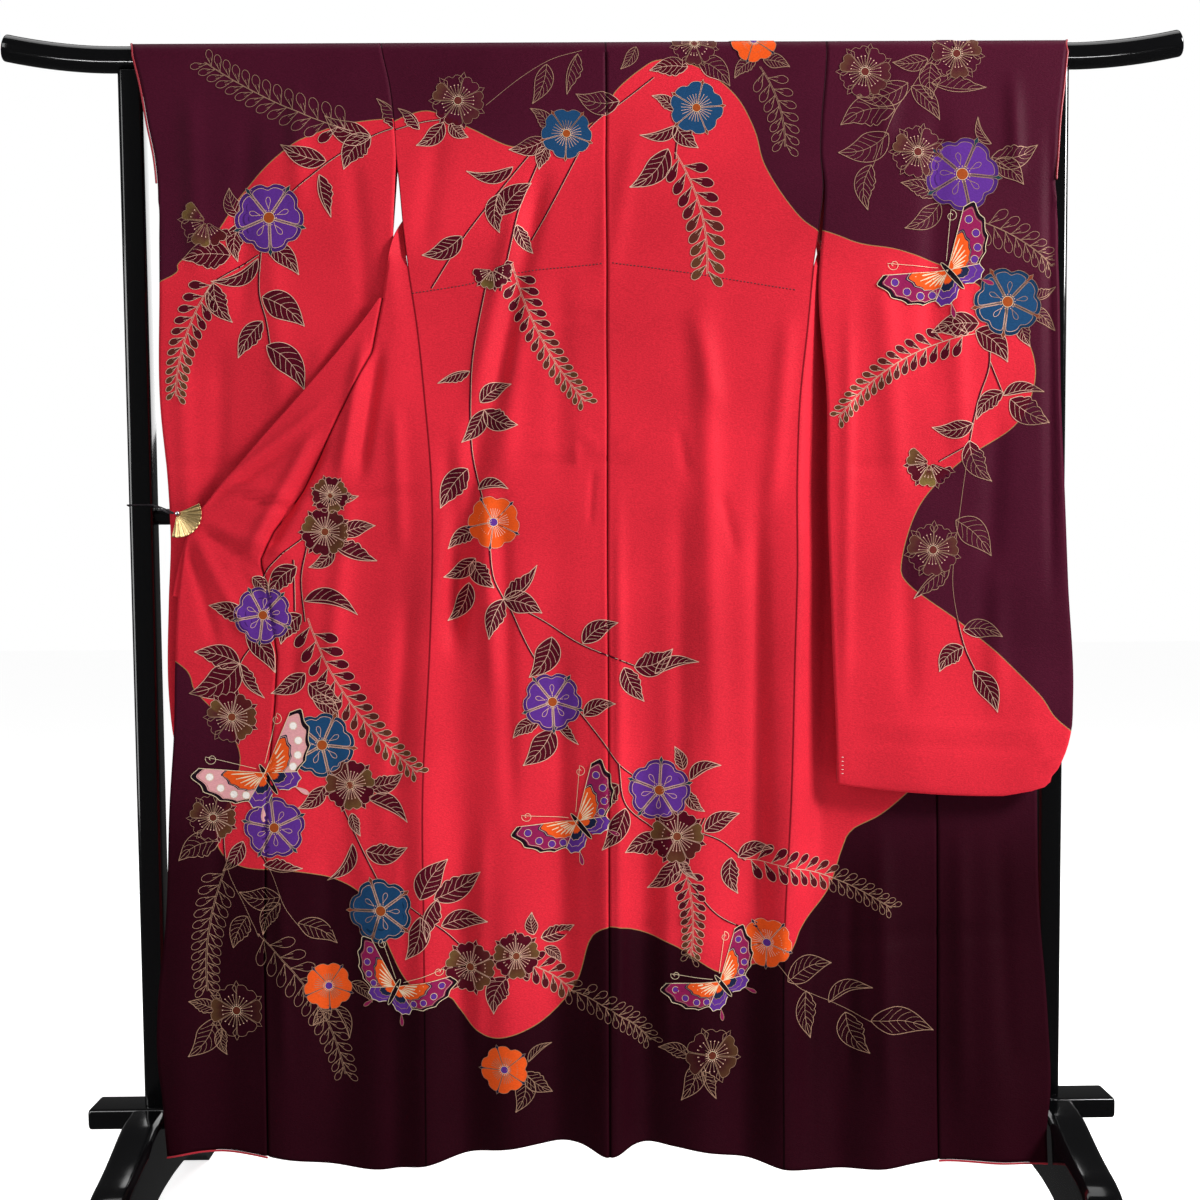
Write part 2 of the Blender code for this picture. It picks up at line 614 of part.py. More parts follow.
def top_rail(group, finish):
    """Round rail whose ends curve up."""
    ends = [RAIL_HALF - RAIL_BEND * (1 - step / 7) for step in range(8)]
    route = []
    for x in [-end for end in ends[::-1]] + ends:
        past = max(0.0, (abs(x) - (RAIL_HALF - RAIL_BEND)) / RAIL_BEND)
        route.append((x, 0.0, RAIL_Z + RAIL_RISE * past**2))
    return tube("top_rail", route, RAIL_RADIUS, group, finish, sides=6)


def foot(name, x, group, finish):
    """Arched board across the stand, notched for the lower rail, its upper edges rounded."""
    notch = LOWER_RAIL_TOP - LOWER_RAIL_HEIGHT - SEAM
    half = LOWER_RAIL_DEPTH / 2 + SEAM
    upper = list(zip(FOOT_TOP["y"], FOOT_TOP["z"]))
    under = list(zip(FOOT_ARCH["y"], FOOT_ARCH["z"]))
    outline = [(half, notch)] + upper + under[::-1]
    outline += [(-y, z) for y, z in under[1:]] + [(-y, z) for y, z in upper[::-1]]
    outline += [(-half, notch)]
    shape = bmesh.new()
    weight = shape.edges.layers.float.new("bevel_weight_edge")
    sides = [[shape.verts.new((end, y, z)) for y, z in outline] for end in (-0.5, 0.5)]
    for line in sides:
        shape.faces.new(line)
    for i in range(len(outline)):
        shape.faces.new((sides[0][i - 1], sides[1][i - 1], sides[1][i], sides[0][i]))
    bmesh.ops.scale(shape, vec=(FOOT_WIDTH, 1.0, 1.0), verts=shape.verts)
    last = len(upper)
    rounded = set(range(1, last)) | set(range(len(outline) - last, len(outline) - 1))
    for line in sides:
        for i in rounded:
            shape.edges.get((line[i], line[i + 1]))[weight] = 1.0
    bmesh.ops.recalc_face_normals(shape, faces=shape.faces)
    mesh = bpy.data.meshes.new(name)
    shape.to_mesh(mesh)
    shape.free()
    mesh.shade_smooth()
    obj = place(bpy.data.objects.new(name, mesh), group, finish)
    obj.location = (x, 0.0, 0.0)
    edge = obj.modifiers.new("Rounded edges", "BEVEL")
    edge.limit_method = "WEIGHT"
    edge.width = FOOT_ROUND
    edge.segments = 3
    return obj


def stand(group, lacquer):
    top_rail(group, lacquer)
    post_foot = LOWER_RAIL_TOP + SEAM
    post_top = RAIL_Z - RAIL_RADIUS - SEAM
    size = (POST_WIDTH, POST_DEPTH, post_top - post_foot)
    for side, name in ((-1, "left"), (1, "right")):
        centre = (side * POST_X, 0.0, (post_top + post_foot) / 2)
        block(name + "_post", size, centre, POST_ROUND, group, lacquer)
        foot(name + "_foot", side * FOOT_X, group, lacquer)
    reach = POST_X - POST_WIDTH / 2 - SEAM
    ends = [(-reach, 0.0, MIDDLE_RAIL_Z), (reach, 0.0, MIDDLE_RAIL_Z)]
    tube("middle_rail", ends, MIDDLE_RAIL_RADIUS, group, lacquer, sides=4)
    size = (2 * LOWER_RAIL_HALF, LOWER_RAIL_DEPTH, LOWER_RAIL_HEIGHT)
    centre = (0.0, 0.0, LOWER_RAIL_TOP - LOWER_RAIL_HEIGHT / 2)
    block("lower_rail", size, centre, LOWER_RAIL_ROUND, group, lacquer)


def fan_clip(group, gold, silver, dark):
    """Folded fan that pins the left front, its rivet, and the cord that ties it to the post."""
    px, py, pz = FAN_PIVOT
    turns = np.linspace(FAN_FROM, FAN_TO, 2 * FAN_FOLDS + 1)
    reach = np.array([FAN_HUB, FAN_RADIUS])[:, None]
    x = px + reach * np.cos(turns)
    z = pz + reach * np.sin(turns)
    crest = (np.arange(len(turns)) % 2) * 2.0 - 1.0
    y = py + FAN_PLEAT * crest * reach / FAN_RADIUS
    grid = np.stack([x, y, z], axis=-1)
    plate = cloth("fan_clip", grid, group, gold, flip=True)
    plate.modifiers["Wall"].thickness = FAN_PLATE
    shape = bmesh.new()
    bmesh.ops.create_uvsphere(shape, u_segments=10, v_segments=6, radius=BEAD_RADIUS)
    mesh = bpy.data.meshes.new("fan_rivet")
    shape.to_mesh(mesh)
    shape.free()
    mesh.shade_smooth()
    bead = place(bpy.data.objects.new("fan_rivet", mesh), group, silver)
    bead.location = FAN_PIVOT
    near, far = POST_X - POST_WIDTH / 2, POST_X + POST_WIDTH / 2
    gap = CORD_RADIUS + 2 * SEAM
    front = -POST_DEPTH / 2 - gap
    high, low = CORD_POST_Z + CORD_RADIUS * 1.6, CORD_POST_Z
    start = px - BEAD_RADIUS - gap
    route = [
        (start, py, pz + CORD_RADIUS * 0.4),
        (start - 0.012, py + 0.008, pz + 0.006),
        (-(near - 0.012), front - 0.014, high - 0.003),
        (-(near + 0.004), front, high),
        (-(far - 0.004), front, high),
        (-(far + gap), front + 0.006, high),
        (-(far + gap), -front - 0.006, low),
        (-(far - 0.004), -front, low),
        (-(near + 0.004), -front, low),
        (-(near - gap), -front - 0.006, low),
        (-(near - gap), front + 0.006, low),
        (-(near - 0.012), front - 0.011, low - 0.003),
        (start - 0.012, py + 0.0085, pz + 0.0025),
    ]
    tube("fan_cord", route, CORD_RADIUS, group, dark, sides=2, closed=True)


def hem_roll(name, side, group, finish):
    """Red lining rolled under the hem of one overlap."""
    rim = overlap_rows(side)[-1]
    drop = ROLL_RADIUS + 2 * SEAM
    route = [(x, y + CLOTH / 2, z - drop) for x, y, z in rim]
    tube(name, route, ROLL_RADIUS, group, finish, sides=2)


def cuff_roll(name, side, group, finish):
    """Red lining rolled round the edge of one wrist opening, from the front over the rail to
    the rear, held off the cloth's edge along the cloth."""
    levels = [z for z, _, _ in sleeve_levels(side)]
    last = max(row for row, z in enumerate(levels) if z >= WRIST_Z)
    first = len(SLEEVE_SHARES) - 1
    near, far = (sleeve_rows(side, layer)[1 : last + 1, first] for layer in (-1, 1))
    edge = np.concatenate([near[::-1], far])
    over = DRAPE_STEPS // 2
    rise = np.concatenate([np.zeros(last - over), np.linspace(0, math.pi / 2, over + 1)[1:]])
    turns = np.concatenate([rise, math.pi - rise[::-1]])
    outer = np.stack([0 * turns, -np.cos(turns), np.sin(turns)], axis=-1)
    along = np.gradient(edge, axis=0)
    out = np.cross(along, outer)
    out *= (side * np.sign(out[:, 0]) / np.linalg.norm(out, axis=1))[:, None]
    route = edge + out * (ROLL_RADIUS + 2 * SEAM) - outer * SEAM
    route[0] += (route[1] - route[0]) * ROLL_INSET / np.linalg.norm(route[1] - route[0])
    route[-1] += (route[-2] - route[-1]) * ROLL_INSET / np.linalg.norm(route[-2] - route[-1])
    tube(name, route.tolist(), ROLL_RADIUS, group, finish, sides=2)


def garment(group, silk, lining):
    for side, name in ((-1, "left"), (1, "right")):
        turned = side > 0
        body = [back_rows(side), drape_rows(side), upper_front_rows(side), lower_front_rows(side)]
        cloth(name + "_body", np.concatenate(body), group, silk, flip=turned)
        cloth(name + "_overlap", overlap_rows(side), group, silk, flip=turned)
        for layer, part in ((-1, "back"), (1, "front")):
            cloth(
                name + "_sleeve_" + part,
                sleeve_rows(side, layer),
                group,
                silk,
                flip=turned == (layer < 0),
                open_faces=sleeve_open(side),
                weld=True,
            )
        cloth(name + "_collar", laid_collar_rows(side), group, silk, flip=turned)
        hem_roll(name + "_hem_roll", side, group, lining)
        cuff_roll(name + "_cuff_roll", side, group, lining)
    cloth("neck_collar", neck_collar_rows(), group, silk, flip=True)


def main():
    clear_scene()
    group = bpy.data.collections.new("furisode_on_stand")
    bpy.context.scene.collection.children.link(group)
    silk = material("red crepe silk", (0.72, 0.02, 0.04), 0.55)
    lining = material("red lining silk", (0.60, 0.01, 0.03), 0.45)
    lacquer = material("black lacquer", (0.006, 0.006, 0.007), 0.12)
    gold = material("gilt brass", (0.86, 0.62, 0.22), 0.3, 1.0)
    silver = material("silver pin", (0.8, 0.8, 0.8), 0.25, 1.0)
    dark = material("dark silk cord", (0.03, 0.01, 0.04), 0.7)
    stand(group, lacquer)
    garment(group, silk, lining)
    fan_clip(group, gold, silver, dark)


if __name__ == "__main__":
    main()
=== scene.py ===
"""Looks of a furisode kimono, hung back outwards on a black lacquered kimono stand.

Metres, +Z up. The viewer of the back stands at -Y, and left and right are the viewer's. Cloth is
a fine grid on the same curves as its solids, with creases laid on it. The dyed flowers,
leaves, wisteria and butterflies are thin meshes that follow the cloth they are dyed on.
"""

from __future__ import annotations

import json
import logging
import math
from dataclasses import dataclass, field
from enum import Enum
from typing import Callable, Sequence

import bmesh
import bpy
import numpy as np
from mathutils import Matrix, Vector

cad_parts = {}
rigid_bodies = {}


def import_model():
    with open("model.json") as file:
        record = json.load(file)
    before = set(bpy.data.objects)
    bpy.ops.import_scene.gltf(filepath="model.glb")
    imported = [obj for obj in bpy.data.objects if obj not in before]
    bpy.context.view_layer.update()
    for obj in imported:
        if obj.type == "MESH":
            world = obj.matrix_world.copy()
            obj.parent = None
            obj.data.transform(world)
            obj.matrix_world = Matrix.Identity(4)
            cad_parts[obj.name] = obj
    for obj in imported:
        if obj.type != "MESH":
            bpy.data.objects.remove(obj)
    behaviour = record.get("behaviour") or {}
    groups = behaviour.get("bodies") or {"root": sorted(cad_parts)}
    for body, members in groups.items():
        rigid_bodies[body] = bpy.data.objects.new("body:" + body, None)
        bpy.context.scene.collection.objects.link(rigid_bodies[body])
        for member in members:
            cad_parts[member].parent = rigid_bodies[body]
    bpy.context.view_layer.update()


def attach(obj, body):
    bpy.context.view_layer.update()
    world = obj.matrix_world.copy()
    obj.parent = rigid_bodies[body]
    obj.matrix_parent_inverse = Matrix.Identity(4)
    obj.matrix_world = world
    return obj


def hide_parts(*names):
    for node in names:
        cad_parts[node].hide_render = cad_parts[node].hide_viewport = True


LOG = logging.getLogger("furisode")
MM = 0.001
Array = np.ndarray
Line = Sequence[tuple[float, float]]

# Cloth and seams
CLOTH = 1.8 * MM
SEAM = 0.3 * MM
SEAM_DIP = 3.0 * MM
SEAM_DIP_REACH = 2.2 * MM
# Width of the painted shade along each sewn seam
SEAM_SHADE = 2.4 * MM

# Stand
RAIL_Z = 1.721
RAIL_RADIUS = 0.019
RAIL_HALF = 0.860
RAIL_BEND = 0.170
RAIL_RISE = 0.018
POST_X = 0.676
POST_WIDTH = 0.036
POST_DEPTH = 0.040
POST_ROUND = 0.007
MIDDLE_RAIL_Z = 1.057
MIDDLE_RAIL_RADIUS = 0.012
LOWER_RAIL_TOP = 0.170
LOWER_RAIL_HALF = 0.775
LOWER_RAIL_DEPTH = 0.072
LOWER_RAIL_HEIGHT = 0.031
LOWER_RAIL_ROUND = 0.005
FOOT_X = 0.684
FOOT_WIDTH = 0.056
FOOT_ROUND = 0.012

# Levels and edges of the cloth
DRAPE = (RAIL_RADIUS + SEAM) / math.cos(math.pi / 12) + CLOTH
MOTIF_TOP = RAIL_Z + 0.93 * DRAPE
UNDERARM_Z = 1.410
ARMHOLE_Z = 1.570
WRIST_Z = 1.510
KENSAKI_Z = 1.366
HEM_LEVEL = 0.100
HEM_FADE_Z = 1.000
CENTRE_SEAM_TOP = 0.016
SLEEVE_BOTTOM = 0.636
SLEEVE_CLOSING_Z = 0.770
BOTTOM_TILT = 0.020
EDGE_BULGE = 0.7
EDGE_FADE = 0.030
PINCH_DEPTH = 0.006
TURN_NARROW = 0.030
TURN_WIDE = 0.050
TURN_FADE = 0.250
COLLAR_GAP = 0.6 * MM
COLLAR_INSET = 0.4 * MM
ROLL_RADIUS = 1.5 * MM

# Plum dye: darker towards the hem
PLUM_LOW = "#2C0713"
PLUM_HIGH = "#4C1429"
PLUM_LOW_Z = 0.50
PLUM_HIGH_Z = 0.82

# Fan clip
FAN_PIVOT = (-0.6105, -0.0668, 1.058)
FAN_RADIUS = 0.035
FAN_HUB = 0.0045
FAN_FOLDS = 10
FAN_FROM = math.radians(24)
FAN_TO = math.radians(-104)
FAN_PLEAT = 1.1 * MM
BEAD_RADIUS = 0.0035
CORD_RADIUS = 1.1 * MM
CORD_POST_Z = 1.0715


def table(columns: str, *rows: Sequence[float]) -> dict[str, Array]:
    """One array for each named column, from rows in millimetres; a lean stays in degrees."""
    named = dict(zip(columns.split(), np.array(rows, float).T))
    return {name: values if name == "lean" else values / 1000 for name, values in named.items()}


LEVELS = np.array((
    100, 135, 180, 240, 310, 390, 470, 550, 630, 700, 770, 840, 900, 950, 1000, 1040, 1080, 1130, 1180,
    1230, 1280, 1325, 1366, 1394, 1410, 1428, 1448, 1466, 1484, 1502, 1530, 1570, 1610, 1650, 1690, 1721,
)) / 1000

# Side seams below the underarm, the body's open side above it, and the armholes at the top
BODY = table(
    "z left centre right",
    (100, -260, 8, 262), (450, -260, 10, 266), (640, -260, 11, 277), (850, -248, 12, 284),
    (960, -243, 12, 288), (1110, -243, 13, 289), (1220, -251, 14, 294), (1325, -261, 14, 306),
    (1410, -273, 15, 315), (1470, -280, 15, 324), (1530, -285, 15, 330), (1570, -289, 15, 327),
    (1620, -292, 16, 329), (1680, -299, 16, 335), (1721, -308, 16, 338), (1742, -312, 16, 338),
)

# Depth of each layer's outer face: minus is towards the viewer
DEPTH = table(
    "z back left_front right_front left_sleeve left_rear right_sleeve right_rear",
    (80, -108, -100, -112, -52, -36, -86, -70), (170, -102, -95, -96, -52, -36, -86, -70),
    (400, -92, -84, -68, -52, -36, -86, -70), (640, -82, -74, -50, -52, -36, -85, -67),
    (800, -76, -69, -41, -51, -35, -79, -60), (1060, -66, -63, -30, -49, -32, -67, -48),
    (1300, -56, -59, -22, -47, -30, -55, -37), (1420, -49, -56, -17, -46, -28, -48, -30),
    (1490, -45, -50, -12, -45, -27, -45, -27), (1570, -38.5, -45, -10, -38.5, -10, -38.5, -10),
    (1640, -31, -40, -10, -31, 6, -31, 6), (1690, -25, -40, -10, -25, 18, -25, 18),
    (1721, -DRAPE / MM, -40, -10, -DRAPE / MM, DRAPE / MM, -DRAPE / MM, DRAPE / MM),
)

# Seams between the fronts and their overlaps
OVERLAP_SEAM = table(
    "z left right",
    (100, -493, 493), (420, -495, 498), (640, -489, 499), (780, -475, 499), (850, -471, 498),
    (930, -481, 496), (990, -493, 489), (1030, -475, 480), (1090, -430, 458), (1200, -375, 414),
    (1290, -326, 378), (1366, -310, 356), (1394, -306, 349), (1410, -303, 345),
)

# Fronts above the underarm: open side or armhole edge, and the neck edge
LEFT_UPPER = table(
    "z side_x side_y edge_x edge_y",
    (1428, -276.5, -41, -300, -54.5), (1448, -272, -32, -295, -51.5), (1466, -271, -24, -288, -43),
    (1484, -274, -17, -277, -32), (1502, -280, -13, -262, -18), (1530, -285, -13, -224, -3),
    (1570, -289, -10, -180, 8), (1610, -292, 0, -140, 15), (1650, -295, 8, -104, 20),
    (1690, -300, 18, -72, 23.5), (1705.5, -304, 20, -28, 22.6), (1721, -308, DRAPE / MM, 15.85, DRAPE / MM),
)
RIGHT_UPPER = table(
    "z side_x side_y edge_x edge_y",
    (1428, 322.5, -40, 341, -16.5), (1448, 323, -23.5, 336, -12), (1466, 324, -20, 329, -6),
    (1484, 325, -17, 317, -1), (1502, 326, -14, 296, 2), (1530, 329, -12, 256, 6),
    (1570, 327, -10, 212, 10), (1610, 329, 0, 172, 15), (1650, 332, 8, 136, 20), (1690, 336, 18, 104, 23.5),
    (1705.5, 337, 20, 60, 22.6), (1721, 338, DRAPE / MM, 16.15, DRAPE / MM),
)

# Free edge of each overlap
LEFT_OVERLAP = table(
    "z edge",
    (100, -640), (135, -643), (190, -647), (240, -653), (330, -652), (450, -639), (640, -630), (730, -623),
    (860, -618), (936, -613), (990, -605), (1026, -599), (1049, -591), (1072, -571), (1102, -545),
    (1159, -495), (1233, -427), (1296, -371), (1350, -326), (1366, -314.5),
)
RIGHT_OVERLAP = table(
    "z edge",
    (100, 652), (150, 653), (190, 659), (300, 659), (362, 656), (446, 650), (640, 647), (800, 645),
    (900, 640), (990, 628), (1050, 604), (1100, 566), (1160, 520), (1230, 465), (1300, 409), (1350, 371),
    (1366, 360.5),
)

# Height of the hem along its width
HEM = table(
    "x z",
    (-655, 118), (-600, 126), (-563, 126), (-494, 119), (-438, 108), (-300, 100), (-260, 107), (-169, 124),
    (-90, 133), (-37, 132), (8, 117), (48, 130), (103, 128), (168, 116), (223, 103), (262, 95), (399, 92),
    (490, 101), (609, 99), (660, 97),
)

# Hanging folds: place at the hem and at the top, half width, and rise towards the viewer
BACK_FOLDS = table(
    "hem_x top_x top_z half_width rise",
    (-262, -262, 1300, 34, 16), (-200, -215, 1250, 30, -14), (-135, -150, 1300, 32, 10),
    (-62, -70, 1300, 30, -16), (10, 14, 1100, 24, 18), (64, 70, 1200, 26, -14), (140, 150, 1450, 36, 11),
    (212, 222, 1200, 30, -14), (268, 290, 1300, 34, 16),
)
LEFT_FOLDS = table(
    "hem_x top_x top_z half_width rise",
    (-330, -290, 1320, 30, 8), (-400, -330, 1250, 34, -9), (-475, -440, 1100, 30, 8),
    (-560, -540, 1050, 34, -8), (-625, -600, 950, 26, 6),
)
RIGHT_FOLDS = table(
    "hem_x top_x top_z half_width rise",
    (345, 350, 700, 28, -10), (410, 420, 720, 32, 10), (500, 490, 720, 34, -7), (580, 575, 720, 32, 6),
)
SLEEVE_FOLDS = table(
    "hem_x top_x top_z half_width rise",
    (395, 370, 1500, 30, -3), (470, 450, 1600, 36, 4), (560, 550, 1600, 38, -4), (640, 620, 1500, 30, 3),
)

# Sleeves, as x out from the centre line: inner opening's edge and outer edge of the viewer's
# layer, then the same of the rear layer
LEFT_SLEEVE = table(
    "z inner outer rear_inner rear_outer",
    (636, 330, 540, 330, 540), (644, 330, 580, 330, 580), (667, 329, 606, 329, 606),
    (693, 328, 620, 328, 620), (730, 326, 629, 326, 629), (780, 324, 634, 324, 634),
    (930, 318, 632, 318, 632), (1020, 314, 627, 314, 627), (1100, 311, 629, 311, 629),
    (1220, 307, 638, 307, 638), (1394, 300, 635, 302, 635), (1448, 294.5, 634, 297, 634),
    (1484, 293.5, 633, 294, 633), (1530, 291, 633, 291, 630), (1570, 289.3, 637, 289.3, 632),
    (1620, 292.3, 647, 292.3, 636), (1680, 299.3, 658, 299.3, 644), (1721, 308.3, 668, 308.3, 652),
    (1742, 312.3, 673, 312.3, 673),
)
RIGHT_SLEEVE = table(
    "z inner outer rear_inner rear_outer",
    (636, 347, 590, 347, 590), (644, 346, 634, 346, 634), (667, 345, 663, 346, 663),
    (693, 344, 679, 347, 679), (730, 343, 690, 349, 690), (780, 341, 693, 352, 693),
    (950, 336, 686, 352, 686), (1070, 333, 682, 352, 682), (1213, 333, 677, 352, 677),
    (1394, 322.5, 675, 345, 675), (1428, 325, 674, 334, 674), (1448, 327, 674, 324, 674),
    (1484, 330, 673, 322, 672), (1530, 332, 668, 325.5, 650), (1570, 327.3, 671, 327.3, 650),
    (1620, 329.3, 675, 329.3, 650), (1680, 335.3, 683, 335.3, 650), (1721, 338.3, 688, 338.3, 653),
    (1742, 338.3, 691, 338.3, 691),
)

# Shares of each piece's width where its solid's columns run
BACK_SHARES = np.array([0, 0.02, 0.12, 0.22, 0.33, 0.44, 0.55, 0.66, 0.77, 0.88, 0.98, 1])
FRONT_SHARES = np.array([0, 0.02, 0.07, 0.13, 0.20, 0.30, 0.42, 0.55, 0.70, 0.84, 0.97, 1])
OVERLAP_SHARES = np.array([0.0, 0.06, 0.30, 0.55, 0.78, 1.0])

# Collar ends folded back behind the fronts: fold edge, width, and lean of the width from down
LEFT_COLLAR = table(
    "x z width lean",
    (-622, 938, 30, 88), (-616.5, 965, 42, 80), (-607.5, 1000, 50, 72), (-600, 1026, 52, 62),
    (-588, 1050, 52, 54), (-565, 1077, 52, 50), (-530, 1118, 50, 49), (-490, 1163, 46, 48),
    (-450, 1206, 42, 48), (-410, 1251, 36, 48), (-372, 1293, 28, 49), (-340, 1331, 18, 50),
)
RIGHT_COLLAR = table(
    "x z width lean",
    (641, 880, 50, 88), (636, 930, 52, 80), (624, 995, 52, 68), (600, 1050, 52, 54), (562, 1102, 50, 48),
    (516, 1160, 46, 46), (470, 1220, 40, 46), (425, 1276, 32, 48), (390, 1320, 20, 50),
)

# Collar round the neck, one half from its end to the centre of the back
NECK_COLLAR = table(
    "x y z width lean",
    (278, -18, 1502, 20, 50), (240, -3, 1530, 36, 48), (196, 8, 1570, 46, 46), (156, 15, 1610, 50, 44),
    (120, 20, 1650, 52, 42), (88, 23.5, 1690, 54, 34), (44, 22.6, 1705.5, 54, 12),
    (0, DRAPE / MM, 1721, 54, 0),
)

# Side outline of a foot: its top from the rail's notch to the toe, and the arch under it
FOOT_TOP = table(
    "y z",
    (36.3, 168), (75, 164), (105, 156), (135, 146), (170, 135), (205, 126), (240, 118), (268, 106),
    (287, 86), (297, 58), (300, 30), (300, 0),
)
FOOT_ARCH = table(
    "y z",
    (0, 60), (60, 58), (110, 52), (150, 43), (185, 31), (212, 16), (230, 0),
)

# Creases laid on the cloth, from one end to the other: half width, and rise towards the
# viewer, minus for a trough
BACK_CREASES = table(
    "x1 z1 x2 z2 half_width rise",
    (-70, 1580, -160, 1160, 14, -11), (-160, 1240, -220, 840, 18, -10), (-105, 1540, -190, 1180, 13, 6),
    (-195, 1200, -250, 860, 14, 5), (155, 1420, 165, 620, 18, 7.5), (231, 1150, 233, 340, 14, -9),
    (26, 1150, 22, 140, 10, 5.1), (-216, 1180, -210, 820, 15, -11), (-93, 1520, -143, 1060, 16, 5.1),
    (-143, 1140, -130, 560, 12, -6), (-172, 1140, -153, 760, 13, 6.3), (-53, 1434, -57, 1073, 18, -3.9),
    (-34, 1160, -30, 1120, 5, 2.4), (-5, 1124, -13, 1030, 5, -2.7), (12, 1148, -41, 1175, 5, 2.7),
    (12, 1148, 60, 1171, 5, 2.7), (-130, 1130, 58, 1129, 6, -3.3), (-60, 1339, 15, 1339, 6, -2.1),
    (176, 1092, 202, 985, 7, -3), (117, 1178, 130, 1101, 7, -2.7), (-240, 440, 2, 424, 7, -3.3),
    (14, 439, 285, 446, 7, -3.3), (64, 1623, 5, 1380, 18, 3.9), (135, 1361, 177, 1188, 15, 4.5),
    (280, 1360, 249, 1042, 14, 5.1), (-225, 1624, -256, 1421, 16, -3.9), (-170, 640, -190, 200, 14, 6),
    (95, 700, 90, 200, 14, 6), (-60, 900, -50, 300, 15, -5.1), (120, 1120, 115, 600, 14, -4.5),
)
LEFT_CREASES = table(
    "x1 z1 x2 z2 half_width rise",
    (-385, 1180, -500, 975, 9, -11), (-402, 1190, -520, 985, 10, 6.5), (-335, 1320, -378, 1090, 9, 7.8),
    (-313, 1310, -350, 1090, 10, -9), (-550, 1104, -434, 1072, 8, 6.5), (-540, 1094, -434, 1060, 7, -5.2),
    (-450, 1072, -241, 1088, 7, -4.9), (-590, 1066, -380, 1226, 8, 4.9), (-590, 1058, -425, 1170, 8, -4.7),
    (-596, 1040, -500, 860, 10, 5.5), (-600, 1030, -555, 850, 9, -5.2), (-590, 1050, -430, 990, 9, 4.7),
    (-590, 1046, -450, 940, 9, -4.7), (-358, 1110, -402, 780, 13, 5.7), (-294, 1230, -287, 980, 12, 4.7),
    (-435, 1000, -453, 770, 12, -5.2), (-537, 990, -480, 920, 10, -3.9), (-273, 950, -302, 620, 14, -5.2),
    (-380, 780, -345, 480, 16, 4.7), (-300, 620, -295, 250, 14, 4.4), (-400, 600, -410, 200, 14, -4.7),
    (-600, 440, -290, 450, 7, -2.3), (-560, 640, -575, 250, 14, -4.4), (-470, 560, -465, 200, 10, 3.9),
)
RIGHT_CREASES = table(
    "x1 z1 x2 z2 half_width rise",
    (300, 424, 640, 434, 7, -3), (319, 920, 311, 420, 10, 4.5), (413, 620, 420, 130, 14, 5.4),
    (532, 620, 530, 130, 14, 4.8), (600, 960, 520, 700, 16, -3.6), (400, 1150, 380, 750, 18, 3.3),
    (370, 560, 365, 180, 12, -4.5), (590, 600, 600, 200, 14, -3.9),
)
LEFT_SLEEVE_CREASES = table(
    "x1 z1 x2 z2 half_width rise",
    (-434, 1713, -428, 1480, 14, 4.4), (-356, 1600, -327, 1300, 14, -3.9),
    (-500, 1660, -518, 1300, 16, -4.4), (-587, 1690, -575, 1380, 15, 4.2), (-606, 1330, -596, 980, 14, 3.9),
    (-640, 1128, -470, 1127, 6, -2.6), (-389, 1320, -434, 1180, 14, 3.4), (-470, 1480, -460, 1180, 16, 3.4),
    (-610, 1000, -600, 750, 14, -3.1), (-545, 1320, -560, 1020, 14, -3.4),
)
RIGHT_SLEEVE_CREASES = table(
    "x1 z1 x2 z2 half_width rise",
    (608, 1720, 611, 1520, 11, 5.7), (661, 1650, 660, 880, 8, -6), (444, 1709, 413, 1580, 15, 4.8),
    (411, 1440, 438, 1040, 18, 5.1), (569, 1020, 583, 740, 16, 4.5), (346, 729, 690, 723, 7, 3.9),
    (350, 718, 690, 712, 6, -3.3), (627, 719, 678, 667, 7, 3), (585, 1220, 561, 830, 16, -4.8),
    (367, 1400, 356, 721, 9, 4.2), (445, 1030, 451, 740, 16, -4.5), (500, 1680, 480, 1200, 18, -4.5),
    (345, 1120, 500, 1118, 7, -2.4), (520, 1440, 530, 1080, 15, 3.9),
)

# Line between the two grounds, with the red side inside it: the body, then each sleeve
BODY_GROUND = (
    (-800, 930), (-620, 845), (-590, 800), (-550, 755), (-527, 705), (-540, 650), (-565, 600), (-556, 560),
    (-520, 541), (-457, 537), (-398, 525), (-352, 500), (-326, 455), (-290, 380), (-253, 354), (-225, 350),
    (-210, 330), (-185, 300), (-150, 291), (-86, 315), (-40, 366), (-19, 432), (4, 451), (33, 450),
    (106, 423), (171, 383), (208, 388), (270, 409), (293, 446), (335, 497), (356, 556), (371, 585),
    (413, 607), (450, 636), (520, 700), (560, 800), (580, 950), (640, 1100), (800, 1200), (800, 1420),
    (382, 1442), (317, 1464), (281, 1498), (245, 1556), (231, 1607), (203, 1659), (152, 1699), (97, 1711),
    (65, 1696), (29, 1664), (15, 1634), (-10, 1616), (-52, 1608), (-90, 1592), (-124, 1585), (-182, 1612),
    (-240, 1637), (-283, 1627), (-340, 1610), (-800, 1500),
)
LEFT_GROUND = (
    (-900, 400), (-100, 400), (-100, 1640), (-283, 1627), (-334, 1623), (-385, 1613), (-450, 1581),
    (-508, 1523), (-552, 1459), (-603, 1421), (-635, 1392), (-900, 1300),
)
RIGHT_GROUND = (
    (100, 1520), (100, 400), (900, 400), (900, 600), (690, 730), (642, 784), (583, 843), (525, 892),
    (452, 946), (441, 983), (467, 1062), (526, 1124), (607, 1177), (636, 1240), (629, 1293), (600, 1332),
    (564, 1373), (513, 1405), (440, 1432), (382, 1442), (317, 1464),
)


